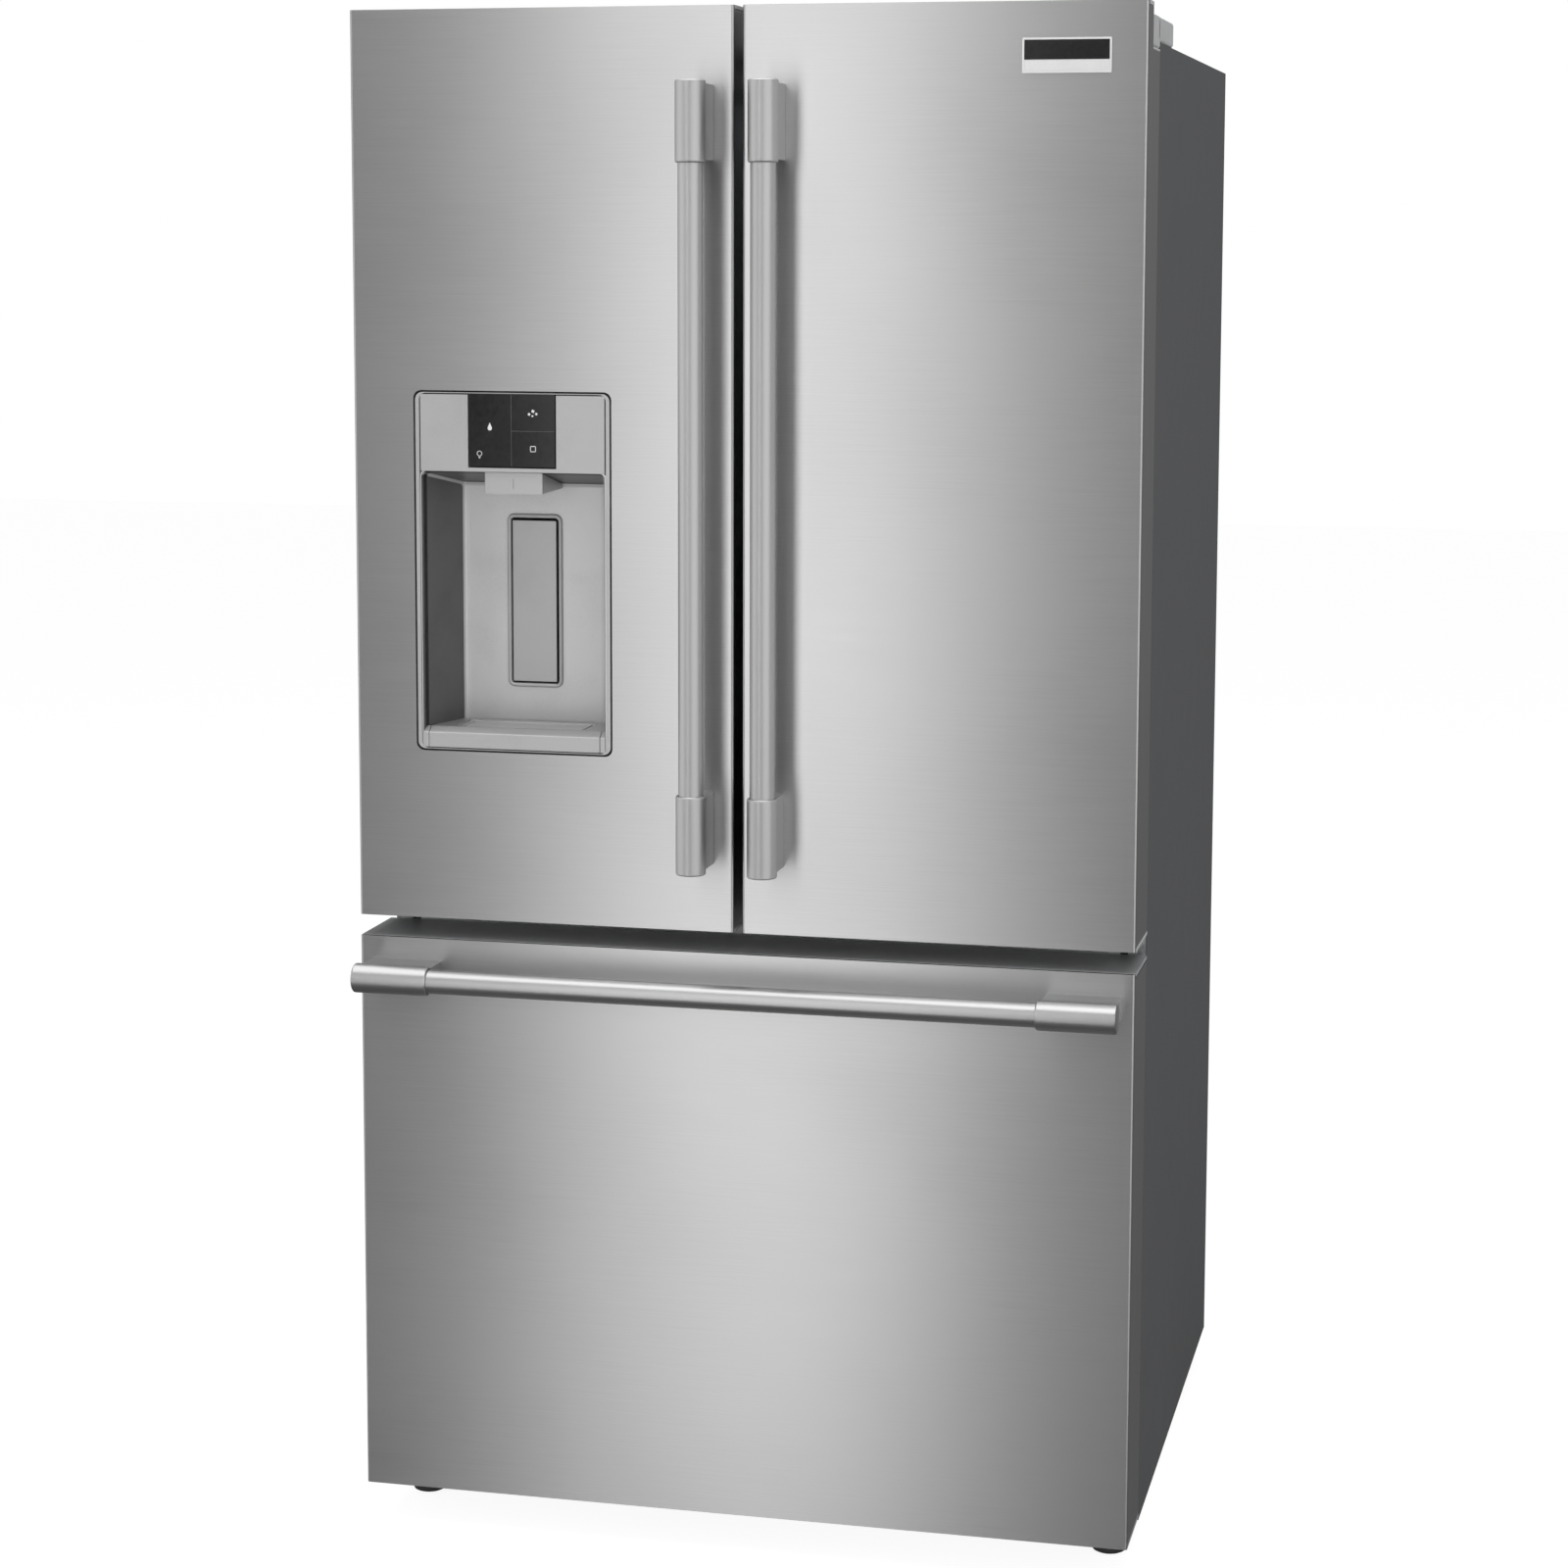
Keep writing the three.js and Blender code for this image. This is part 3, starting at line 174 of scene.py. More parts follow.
def ramp_of(tree, source, dark, light, low=0.35, high=0.65):
    """Colours between dark and light as the source goes from low to high."""
    made = put(tree, "ShaderNodeValToRGB", links={"Fac": source})
    for stop, place, code in zip(made.color_ramp.elements, (low, high), (dark, light)):
        stop.position = place
        stop.color = linear(code)
    return made.outputs["Color"]


def brushed(name, dark, light, roughness, swing, run, anisotropic, depth):
    """Brushed metal: streaks of light and gloss that run along the axes whose streak length is run."""
    made, tree, spot = shader_tree(name)
    grain = put(tree, "ShaderNodeMapping", {"Scale": [1 / (length * MM) for length in run]}, {"Vector": spot})
    streak = put(tree, "ShaderNodeTexNoise", {"Scale": 1.0, "Detail": 4.0, "Roughness": 0.7},
                 {"Vector": grain.outputs["Vector"]})
    cloud = put(tree, "ShaderNodeTexNoise", {"Scale": 3.0, "Detail": 2.0}, {"Vector": spot})
    both = put(tree, "ShaderNodeMath", {1: 0.8}, {0: streak.outputs["Fac"]}, operation="MULTIPLY")
    both = put(tree, "ShaderNodeMath", {2: 0.0}, {0: cloud.outputs["Fac"], 1: both.outputs[0]},
               operation="ADD")
    tint = ramp_of(tree, both.outputs[0], dark, light, 0.6, 1.2)
    gloss = put(tree, "ShaderNodeMapRange", {"From Min": 0.3, "From Max": 0.7, "To Min": roughness - swing,
                                             "To Max": roughness + swing}, {"Value": streak.outputs["Fac"]})
    relief = put(tree, "ShaderNodeBump", {"Strength": 0.5, "Distance": depth * MM},
                 {"Height": streak.outputs["Fac"]})
    normal = put(tree, "ShaderNodeNewGeometry").outputs["Normal"]
    along = put(tree, "ShaderNodeVectorMath", {0: (0, 0, 1)}, {1: normal}, operation="CROSS_PRODUCT")
    smear = put(tree, "ShaderNodeVectorMath", links={0: normal, 1: along.outputs[0]},
                operation="CROSS_PRODUCT")
    shader = put(tree, "ShaderNodeBsdfPrincipled", {"Metallic": 1.0, "Anisotropic": anisotropic},
                 {"Base Color": tint, "Roughness": gloss.outputs[0], "Normal": relief.outputs["Normal"],
                  "Tangent": smear.outputs[0]})
    put(tree, "ShaderNodeOutputMaterial", links={"Surface": shader.outputs[0]})
    return made


# Ferritic stainless, brushed across: reflections stay sharp sideways and smear up and down.
brushed_stainless = brushed("brushed_stainless", "#bebebe", "#c7c7c7", 0.34, 0.02,
                            (STEEL_STREAK_RUN, STEEL_STREAK_RUN, STEEL_STREAK), 0.75, STEEL_STREAK_DEPTH)


def about(middle, half):
    """The low and high ends of a span, from its middle."""
    return middle - half, middle + half


def grown(spans, by):
    """The spans, longer by that much at each end."""
    return [(low - by, high + by) for low, high in spans]


def laid(axis, a, b, height):
    """A point of a flat outline at a height along x, y or z; a and b are on the other two, in order."""
    return Vector({"x": (height, a, b), "y": (a, height, b), "z": (a, b, height)}[axis]) * MM


def bridge(form, loops, closed=False):
    """Faces between neighbouring loops of points; an end one may be a single point."""
    faces = []
    count = max(len(loop) for loop in loops)
    for low, high in zip(loops, loops[1:] + (loops[:1] if closed else [])):
        for i in range(count):
            j = (i + 1) % count
            corners = (low[i % len(low)], low[j % len(low)], high[j % len(high)], high[i % len(high)])
            faces.append(form.faces.new(tuple(dict.fromkeys(corners))))
    bmesh.ops.recalc_face_normals(form, faces=faces)
    return faces


def round_over(form, edges, rim, steps=3):
    """Rounds the edges to that radius."""
    bmesh.ops.bevel(form, geom=list(edges), offset=rim * MM, segments=steps, profile=0.5, affect="EDGES")


def prism(form, outline, axis, start, end, rim=0.0, steps=3):
    """Carries a flat outline along an axis and rounds its two end rims."""
    loops = [[form.verts.new(laid(axis, a, b, height)) for a, b in outline] for height in (start, end)]
    ends = [form.faces.new(loop) for loop in loops]
    bmesh.ops.recalc_face_normals(form, faces=ends + bridge(form, loops))
    if rim:
        round_over(form, [edge for face in ends for edge in face.edges], rim, steps)


def block(form, xs, ys, zs, rim, steps=3):
    """A box with all its edges rounded."""
    spans = [sorted(pair) for pair in (xs, ys, zs)]
    made = bmesh.ops.create_cube(form, size=1.0)["verts"]
    for vert in made:
        vert.co = Vector([(low + (part + 0.5) * (high - low)) * MM
                          for part, (low, high) in zip(vert.co, spans)])
    round_over(form, {edge for vert in made for edge in vert.link_edges}, rim, steps)


def rounded(xs, zs, radius, steps=7):
    """The outline of a rectangle with round corners."""
    (x0, x1), (z0, z1) = sorted(xs), sorted(zs)
    points = []
    for cx, cz, turn in ((x1 - radius, z0 + radius, -90), (x1 - radius, z1 - radius, 0),
                         (x0 + radius, z1 - radius, 90), (x0 + radius, z0 + radius, 180)):
        for i in range(steps + 1):
            angle = math.radians(turn + 90 * i / steps)
            points.append((cx + radius * math.cos(angle), cz + radius * math.sin(angle)))
    return points


def carve(form, *cutters):
    """form less the cutters, as a new form."""
    held = []
    for part in (form, *cutters):
        mesh = bpy.data.meshes.new("carving")
        part.to_mesh(mesh)
        part.free()
        held.append(bpy.data.objects.new("carving", mesh))
        scene.collection.objects.link(held[-1])
    for cutter in held[1:]:
        step = held[0].modifiers.new("cut", "BOOLEAN")
        step.object = cutter
        step.operation = "DIFFERENCE"
        step.solver = "EXACT"
    bpy.context.view_layer.update()
    result = bmesh.new()
    result.from_object(held[0], bpy.context.evaluated_depsgraph_get())
    for part in held:
        bpy.data.objects.remove(part)
    return result


def made_of(*builders):
    """A form that the builders fill in turn; each is a function and its arguments."""
    form = bmesh.new()
    for build, *arguments in builders:
        build(form, *arguments)
    return form


CREASE = 32             # degrees; a surface that turns by more keeps its edge


def place(name, form, material, body, slot, *stands_for):
    """Makes the piece from its form, sets its finish and says what it rides on and stands for."""
    mesh = bpy.data.meshes.new(name)
    form.to_mesh(mesh)
    form.free()
    mesh.materials.append(material)
    for face in mesh.polygons:
        face.use_smooth = True
    mesh.set_sharp_from_angle(angle=math.radians(CREASE))
    made = bpy.data.objects.new(name, mesh)
    scene.collection.objects.link(made)
    even = made.modifiers.new("even_normals", "WEIGHTED_NORMAL")
    even.keep_sharp = True
    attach(made, body)
    if stands_for:
        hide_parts(*stands_for)
    return made


SEAM = 0.8              # dark joint between a skin and its end caps
CAP = 4.6               # height of a cap at the panel's end
LIP = 0.5               # the front of a skin stops this far short of the panel's ends
WRAP = 4.6              # and this far behind it the caps come out to the sides
SHEET = 1.0
BEND = 3.0
(LEFT_X, FRONT_Y, DOOR_LOW), (_, _, DOOR_HIGH) = span("left_door_core")
SKIN_REAR = span("left_door_skin")[1][1]
DOOR_REAR = -281.0
CUT_REAR = -250.0       # cutters end here, behind every skin
DOOR_INNER, DOOR_OUTER = 5.0, -LEFT_X
(_, _, DRAWER_LOW), (_, _, DRAWER_HIGH) = span("drawer_core")
NOTCH_X, NOTCH_Y, NOTCH_Z = 383.0, -341.0, 1730.0
NOTCH_LINING = 3.0
(DISP_X0, _, DISP_Z0), (DISP_X1, _, DISP_Z1) = span("dispenser_housing")
DISP = [(DISP_X0, DISP_X1), (DISP_Z0, DISP_Z1)]
OPENING = grown(DISP, 1.3)
OPENING_CORNER = 9.2


def slab(x0, x1, front, rear, bend):
    """The outline, seen from above, of a panel with bent front edges."""
    steps = 6
    points = [(x0, rear), (x0, front + bend)]
    for cx, turn in ((x0 + bend, 180), (x1 - bend, 270)):
        for i in range(1, steps + 1):
            angle = math.radians(turn + 90 * i / steps)
            points.append((cx + bend * math.cos(angle), front + bend + bend * math.sin(angle)))
        if turn == 180:
            points.append((x1 - bend, front))
    return points + [(x1, rear)]


def skin(x0, x1, z0, z1):
    """A sheet folded round the front and the two sides, cut back at the sides for the end caps."""
    outer = slab(x0, x1, FRONT_Y, SKIN_REAR, BEND)
    inner = slab(x0 + SHEET, x1 - SHEET, FRONT_Y + SHEET, SKIN_REAR, BEND - SHEET)
    sheet = made_of((prism, outer + inner[::-1], "z", z0 + LIP, z1 - LIP, 0.4, 2))
    corners = [made_of((block, about(x, 6), (FRONT_Y + WRAP, CUT_REAR - 10), zs, 0.1, 1)) for x in (x0, x1)
               for zs in ((z0 - 9, z0 + CAP + SEAM), (z1 - CAP - SEAM, z1 + 9))]
    return carve(sheet, *corners)


def notch(side, grow):
    """The corner that a top hinge takes out of its door, cut past the side, the rear and the top."""
    return made_of((block, (side * (NOTCH_X - grow), side * 470), (NOTCH_Y - grow, CUT_REAR),
                    (NOTCH_Z - grow, 1800), 0.2, 1))


def opening(rear):
    """The dispenser's opening, cut from the front to that depth."""
    return made_of((prism, rounded(*OPENING, OPENING_CORNER), "y", FRONT_Y - 5, rear))


left_sheet = carve(skin(-DOOR_OUTER, -DOOR_INNER, DOOR_LOW, DOOR_HIGH), opening(FRONT_Y + 20),
                   notch(-1, NOTCH_LINING))
right_sheet = carve(skin(DOOR_INNER, DOOR_OUTER, DOOR_LOW, DOOR_HIGH), notch(1, NOTCH_LINING))
drawer_sheet = skin(-DOOR_OUTER, DOOR_OUTER, DRAWER_LOW, DRAWER_HIGH)
for body, sheet in (("left_door", left_sheet), ("right_door", right_sheet), ("drawer", drawer_sheet)):
    place(body + "_steel", sheet, brushed_stainless, body, "stainless", body + "_skin")

# ---------------------------------------------------------------- end caps
# Injection moulded ABS trims, pale grey with a fine spark texture, that close each panel top
# and bottom and line the hinge notch; the drawer's are painted darker as painted shade. A black foam tape
# seals each one to the steel.
ABS_GRAIN = 0.9         # the real texture is 0.3 mm, drawn coarse so that it shows
ABS_DEPTH = 0.02


def coated(name, dark, light, roughness, grain, depth, metallic=0.0, patch=70, **sockets):
    """A solid finish: grain of that size raised by depth, and slow patches in its colour and gloss.
    Other sockets of the shader are named by their words joined with _."""
    made, tree, spot = shader_tree(name)
    fine_at = put(tree, "ShaderNodeMapping", {"Scale": [1 / (grain * MM)] * 3}, {"Vector": spot})
    fine = put(tree, "ShaderNodeTexNoise", {"Scale": 1.0, "Detail": 2.0},
               {"Vector": fine_at.outputs["Vector"]})
    slow = put(tree, "ShaderNodeTexNoise", {"Scale": 1 / (patch * MM), "Detail": 3.0}, {"Vector": spot})
    mixed = put(tree, "ShaderNodeMath", links={0: fine.outputs["Fac"], 1: slow.outputs["Fac"]},
                operation="ADD")
    tint = ramp_of(tree, mixed.outputs[0], dark, light, 0.8, 1.2)
    gloss = put(tree, "ShaderNodeMapRange", {"From Min": 0.7, "From Max": 1.3,
                                             "To Min": max(roughness - 0.03, 0), "To Max": roughness + 0.03},
                {"Value": mixed.outputs[0]})
    relief = put(tree, "ShaderNodeBump", {"Strength": 0.6, "Distance": depth * MM},
                 {"Height": fine.outputs["Fac"]})
    shader = put(tree, "ShaderNodeBsdfPrincipled", {"Metallic": metallic},
                 {"Base Color": tint, "Roughness": gloss.outputs[0], "Normal": relief.outputs["Normal"]})
    for key, value in sockets.items():
        shader.inputs[key.replace("_", " ")].default_value = value
    put(tree, "ShaderNodeOutputMaterial", links={"Surface": shader.outputs[0]})
    return made


# ABS from a sparked mould: an even satin grey, lit softly at its edges.
grey_abs = coated("moulded_grey_abs", "#a0a1a2", "#a8a9aa", 0.42, ABS_GRAIN, ABS_DEPTH)
# The same resin, painted a shade darker on the drawer's caps: painted shade for the shade under the doors.
drawer_abs_painted_shade = coated("moulded_mid_grey_abs", "#868788", "#8e8f90", 0.42, ABS_GRAIN, ABS_DEPTH)
# Closed-cell foam tape: black, dull and slightly open.
foam_tape = coated("black_foam_tape", "#0a0a0a", "#141414", 0.9, 1.5, 0.1)


def end_cap(form, x0, x1, z0, z1):
    """A plug behind the front of the skin that comes out flush with its two sides."""
    step = FRONT_Y + WRAP + 0.4
    prism(form, [(x0, DOOR_REAR), (x0, step), (x1, step), (x1, DOOR_REAR)], "z", z0, z1, 0.5)


def notch_lining(form, side):
    """Three thin walls round the hinge notch."""
    xs = (side * (NOTCH_X - NOTCH_LINING), side * (DOOR_OUTER - 0.2))
    ys = (NOTCH_Y - NOTCH_LINING, DOOR_REAR)
    zs = (NOTCH_Z - NOTCH_LINING, DOOR_HIGH - 0.6)
    block(form, (xs[0], side * NOTCH_X), ys, zs, 0.6)
    block(form, xs, (ys[0], NOTCH_Y), zs, 0.6)
    block(form, xs, ys, (zs[0], NOTCH_Z), 0.6)


def tape(form, x0, x1, z0, z1):
    """Foam between the sheet and its two caps, and behind the lip that the sheet turns over them."""
    inset = 1.1
    outline = slab(x0 + inset, x1 - inset, FRONT_Y + inset, DOOR_REAR - 2, BEND - inset)
    for z in (z0 + CAP - 0.4, z1 - CAP - SEAM - 0.4):
        prism(form, outline, "z", z, z + SEAM + 0.8)
    for zs in ((z0 + 0.7, z0 + CAP), (z1 - CAP, z1 - 0.7)):
        block(form, (x0 + 3, x1 - 3), (FRONT_Y + SHEET + 0.05, FRONT_Y + WRAP + 0.3), zs, 0.2, 1)


for body, side in (("left_door", -1), ("right_door", 1)):
    x0, x1 = sorted((side * DOOR_INNER, side * DOOR_OUTER))
    low_cap = made_of((end_cap, x0, x1, DOOR_LOW, DOOR_LOW + CAP))
    place(body + "_cap_bottom", low_cap, grey_abs, body, "liner")
    high_cap = carve(made_of((end_cap, x0, x1, DOOR_HIGH - CAP, DOOR_HIGH)), notch(side, 0))
    notch_lining(high_cap, side)
    place(body + "_cap_top", high_cap, grey_abs, body, "liner")
    place(body + "_tape", carve(made_of((tape, x0, x1, DOOR_LOW, DOOR_HIGH)), notch(side, 1)),
          foam_tape, body, "gasket")
# The drawer's caps take the darker grey: painted shade.
for where, low in (("bottom", DRAWER_LOW), ("top", DRAWER_HIGH - CAP)):
    place("drawer_cap_" + where, made_of((end_cap, -DOOR_OUTER, DOOR_OUTER, low, low + CAP)),
          drawer_abs_painted_shade, "drawer", "liner")
place("drawer_tape", made_of((tape, -DOOR_OUTER, DOOR_OUTER, DRAWER_LOW, DRAWER_HIGH)),
      foam_tape, "drawer", "gasket")

# ---------------------------------------------------------------- handles
# Round stainless tube in turned end fittings, each fitting with a square post bolted through
# the door skin. The tube is polished along its length and meets the fitting at a bright rim.
BAR_R = 14.0
TUBE_START = 75.0       # the tube is let this far into the handle's length
MOUNT_R = 17.0
MOUNT_LENGTH = 90.0
POST_HALF = 13.0
POST_SET = 3.0          # the post stands this far inside the fitting's ends
HANDLE_X = 41.0         # from the gap between the doors
HANDLE_Y = -438.0
RAIL_Z = 673.0
RAIL_END = 442.0

# Stainless tube, polished along its length: long soft streaks and a satin shine.
TUBE_STREAK = 0.7
TUBE_STREAK_RUN = 160
TUBE_STREAK_DEPTH = 0.0001
polished_tube = brushed("polished_stainless_tube", "#cacaca", "#cecece", 0.45, 0.004,
                        (TUBE_STREAK, TUBE_STREAK, TUBE_STREAK_RUN), 0.0, TUBE_STREAK_DEPTH)
# The same on the level tube, where the polish runs across and is a little finer.
polished_rail = brushed("polished_stainless_rail", "#cacaca", "#cdcdcd", 0.36, 0.004,
                        (TUBE_STREAK_RUN, TUBE_STREAK, TUBE_STREAK), 0.0, TUBE_STREAK_DEPTH)


def turned(form, profile, start, towards, segments=56):
    """Turns a profile of (radius, height) points about the line from start towards a direction."""
    turn = Vector((0, 0, 1)).rotation_difference(Vector(towards)).to_matrix()
    angles = [2 * math.pi * i / segments for i in range(segments)]
    loops = []
    for radius, height in profile:
        points = [Vector((radius * math.cos(a), radius * math.sin(a), height)) for a in angles]
        loops.append([form.verts.new((Vector(start) + turn @ point) * MM)
                      for point in (points if radius > 0 else points[:1])])
    bridge(form, loops)


def rod(form, radius, start, end):
    """A round bar with its end rims broken."""
    rim = 0.8
    run = Vector(end) - Vector(start)
    turned(form, ((0, 0), (radius - rim, 0), (radius - rim * 0.3, rim * 0.3), (radius, rim),
                  (radius, run.length - rim), (radius - rim * 0.3, run.length - rim * 0.3),
                  (radius - rim, run.length), (0, run.length)), start, run.normalized())


MOUNT_PROFILE = ((0, 0), (14.6, 0), (15.9, 0.35), (16.7, 1.1), (MOUNT_R, 2.4), (MOUNT_R, MOUNT_LENGTH - 2.6),
                 (16.8, MOUNT_LENGTH - 1.3), (16.2, MOUNT_LENGTH - 0.4), (15.4, MOUNT_LENGTH),
                 (14.8, MOUNT_LENGTH - 0.5), (14.6, MOUNT_LENGTH - 4), (0, MOUNT_LENGTH - 4))


def handle(tag, body, metal, start, end, ends):
    """A tube and its two end fittings, each a turned sleeve on a square post."""
    run = (Vector(end) - Vector(start)).normalized()
    tube = made_of((rod, BAR_R, Vector(start) + run * TUBE_START, Vector(end) - run * TUBE_START))
    place(tag + "_handle_tube", tube, metal, body, "handle_metal", tag + "_handle_bar")
    for name, at, towards in zip(ends, (start, end), (run, -run)):
        near, far = (Vector(at) + towards * reach for reach in (POST_SET, MOUNT_LENGTH - POST_SET))
        post = [about(a, POST_HALF) if a == b else (a, b) for a, b in zip(near, far)]
        post[1] = (HANDLE_Y, FRONT_Y - 0.2)
        fitting = made_of((turned, MOUNT_PROFILE, at, towards), (block, *post, 1.4))
        place(tag + "_handle_fitting_" + name, fitting, metal, body, "handle_metal",
              tag + "_handle_mount_" + name)


for side, name in ((-1, "left"), (1, "right")):
    (_, _, low), (_, _, high) = span(name + "_handle_mount_bottom")[0], span(name + "_handle_mount_top")[1]
    handle(name, name + "_door", polished_tube, (side * HANDLE_X, HANDLE_Y, low),
           (side * HANDLE_X, HANDLE_Y, high), ("bottom", "top"))
handle("drawer", "drawer", polished_rail, (-RAIL_END, HANDLE_Y, RAIL_Z), (RAIL_END, HANDLE_Y, RAIL_Z),
       ("left", "right"))

# ---------------------------------------------------------------- nameplate
# A small plain plate pressed from bright aluminium and stuck to the right door: a raised rim,
# a black enamelled field above and a pale satin strip below, with nothing written on it.
PLATE = [(317.0, 414.5), (1700.0, 1738.0)]
PLATE_RIM = 2.2
PLATE_SPLIT = 1714.5

# Bright aluminium, coined and clear-lacquered: near white with a soft shine.
bright_aluminium = coated("coined_bright_aluminium", "#cfcfcf", "#d8d8d8", 0.36, 0.6, 0.002, metallic=0.2)
# Black enamel filled level with the rim and polished.
black_enamel = coated("black_enamel", "#161616", "#1e1e1e", 0.18, 2.0, 0.005)


def ring(form, outer, inner, corner, axis, start, end, rim=0.4):
    """A flat frame between two rounded rectangles that share corner's centre."""
    inset = min(abs(outer[0][0] - inner[0][0]), abs(outer[1][0] - inner[1][0]))
    outline, hole = rounded(*outer, corner), rounded(*inner, max(corner - inset, 0.3))
    loops = [[form.verts.new(laid(axis, a, b, height)) for a, b in line]
             for line, height in ((outline, start), (outline, end), (hole, end), (hole, start))]
    faces = bridge(form, loops, closed=True)
    way = "xyz".index(axis)
    round_over(form, {edge for face in faces for edge in face.edges if edge.calc_face_angle(0) > 1.2
                      and abs(edge.verts[0].co[way] - edge.verts[1].co[way]) < 1e-7}, rim)


plate = made_of((block, PLATE[0], (FRONT_Y - 1.2, FRONT_Y), PLATE[1], 0.5),
                (ring, PLATE, grown(PLATE, -PLATE_RIM), 1.5, "y", FRONT_Y - 2.0, FRONT_Y - 1.0, 0.35))
place("nameplate", plate, bright_aluminium, "right_door", "stainless")
field = made_of((block, *grown(PLATE[:1], -PLATE_RIM), (FRONT_Y - 1.7, FRONT_Y - 1.0),
                 (PLATE_SPLIT, PLATE[1][1] - PLATE_RIM), 0.2))
place("nameplate_field", field, black_enamel, "right_door", "black_glass")

# ---------------------------------------------------------------- dispenser
# A silver-painted ABS moulding set in the left door: a thin surround, a two-part fascia either
# side of a touch glass, and a deep recess with a hinged paddle, a spout block and a drip tray.
DISP_MID = (DISP_X0 + DISP_X1) / 2
SURROUND = 5.4
SURROUND_TOP = 1.8
SURROUND_CORNER = 8.6
FASCIA_LOW = 1256.5
RECESS_REAR = -299.0
RECESS_FRONT = [(-374.6, -154.9), (936.2, FASCIA_LOW)]
RECESS_BACK = [(-351.0, -178.5), (943.0, 1239.0)]
GROOVE = 1.3            # between the surround, the fascia and the glass
FACE_Y = FRONT_Y - 0.3  # the moulding stands that far proud of the steel

# ABS with a silver metallic paint: fine flake, a satin face and bright edges.
silver_paint = coated("silver_painted_abs", "#a8a8a8", "#b0b0b0", 0.33, 0.8, 0.012, metallic=0.45)
# The same paint, painted darker as painted shade on the recess's deep side walls and its ceiling, and a
# little rougher.
silver_painted_shade = coated("silver_painted_abs_side", "#585858", "#626262", 0.42, 0.8, 0.012, metallic=0.3)
# And painted lighter on the rear wall, where it lies flat, and on the drip tray plate: painted light for the
# light they take.
silver_painted_light = coated("silver_painted_abs_rear", "#c0c0c0", "#c9c9c9", 0.33, 0.8, 0.012, metallic=0.45)
# Black ABS from the same sparked mould.
black_abs = coated("moulded_black_abs", "#101010", "#1a1a1a", 0.55, ABS_GRAIN, ABS_DEPTH)


def tapered(form, front, rear, y0, y1, rim):
    """A box that narrows to the rear, its rear and long edges rounded."""
    made = bmesh.ops.create_cube(form, size=1.0)["verts"]
    for vert in made:
        end, y = (front, y0) if vert.co.y < 0 else (rear, y1)
        vert.co = Vector((end[0][vert.co.x > 0], y, end[1][vert.co.z > 0])) * MM
    edges = {edge for vert in made for edge in vert.link_edges}
    rear_edges = [edge for edge in edges if all(vert.co.y > (y1 - 1) * MM for vert in edge.verts)]
    long_edges = [edge for edge in edges if abs(edge.verts[0].co.y - edge.verts[1].co.y) > 1 * MM]
    round_over(form, rear_edges + long_edges, rim, 5)


def recess_space():
    """The hollow of the recess, open to the front."""
    return made_of((tapered, grown(RECESS_FRONT, 1.4), RECESS_BACK, FRONT_Y - 6, RECESS_REAR, 6.0))


surround_box = grown(DISP, -0.8)
surround_hole = [grown(DISP[:1], -SURROUND)[0], grown(DISP[1:], -SURROUND_TOP)[0]]
surround = made_of((ring, surround_box, surround_hole, SURROUND_CORNER, "y", FACE_Y, FRONT_Y + 10, 0.35))
place("dispenser_surround", surround, silver_paint, "left_door", "silver_plastic")

# A black foam ring fills the joint between the surround and the steel: painted shade, a dull black band where
# the gap's shadow falls.
gap_shade_ring = made_of((ring, grown(OPENING, -0.1), grown(surround_box, 0.1), OPENING_CORNER - 0.1, "y",
                FRONT_Y + 0.8, FRONT_Y + 4.6, 0.2))
place("dispenser_seal", gap_shade_ring, foam_tape, "left_door", "gasket")

backing = carve(made_of((prism, rounded(*grown(DISP, 2), 10), "y", FRONT_Y + 5, FRONT_Y + 12)),
                recess_space())
place("dispenser_backing", backing, black_abs, "left_door", "black_plastic")

FASCIA_X = (surround_hole[0][0] + GROOVE, surround_hole[0][1] - GROOVE)
FASCIA_TOP = surround_hole[1][1] - GROOVE
(GLASS_X0, _, GLASS_Z0), (GLASS_X1, _, GLASS_Z1) = span("dispenser_glass")
window_x, window_low = (GLASS_X0 - GROOVE, GLASS_X1 + GROOVE), GLASS_Z0 - GROOVE
fascia_outline = [(FASCIA_X[0], FASCIA_LOW), (FASCIA_X[1], FASCIA_LOW), (FASCIA_X[1], FASCIA_TOP),
                  (window_x[1], FASCIA_TOP), (window_x[1], window_low), (window_x[0], window_low),
                  (window_x[0], FASCIA_TOP), (FASCIA_X[0], FASCIA_TOP)]
place("dispenser_fascia", made_of((prism, fascia_outline, "y", FACE_Y, FRONT_Y + 9, 0.5)),
      silver_paint, "left_door", "silver_plastic")

POCKET = [about(DISP_MID, 28.5), (1004.0, 1197.5)]
POCKET_REAR = -265.0


def pocket_space(grow, front):
    """The well behind the paddle."""
    (x0, x1), (z0, z1) = grown(POCKET, grow)
    return made_of((block, (x0, x1), (front, POCKET_REAR + grow), (z0, z1), 0.8))


shell_front = [(surround_hole[0][0] + 0.4, RECESS_FRONT[0][1] + 1.5), grown(RECESS_FRONT[1:], 1.5)[0]]
shell = carve(made_of((tapered, shell_front, grown(RECESS_BACK, 2.5), FRONT_Y + 1, RECESS_REAR + 2.5, 7.0)),
              recess_space(), pocket_space(0, RECESS_REAR - 8))
recess = place("dispenser_recess", shell, silver_paint, "left_door", "silver_plastic", "dispenser_housing")
recess.data.materials.append(silver_painted_shade)
recess.data.materials.append(silver_painted_light)
# Faces are picked by which way they turn: painted shade on the side walls and the ceiling, painted light on
# the rear wall.
for face in recess.data.polygons:
    if (abs(face.normal.x) > 0.9 and face.area > 1e-4) or face.normal.z < -0.7:
        face.material_index = 1
    elif face.normal.y < -0.5:
        face.material_index = 2

place("paddle_pocket", carve(pocket_space(1.6, RECESS_REAR + 0.3), pocket_space(0, RECESS_REAR - 4)),
      black_abs, "left_door", "black_plastic")


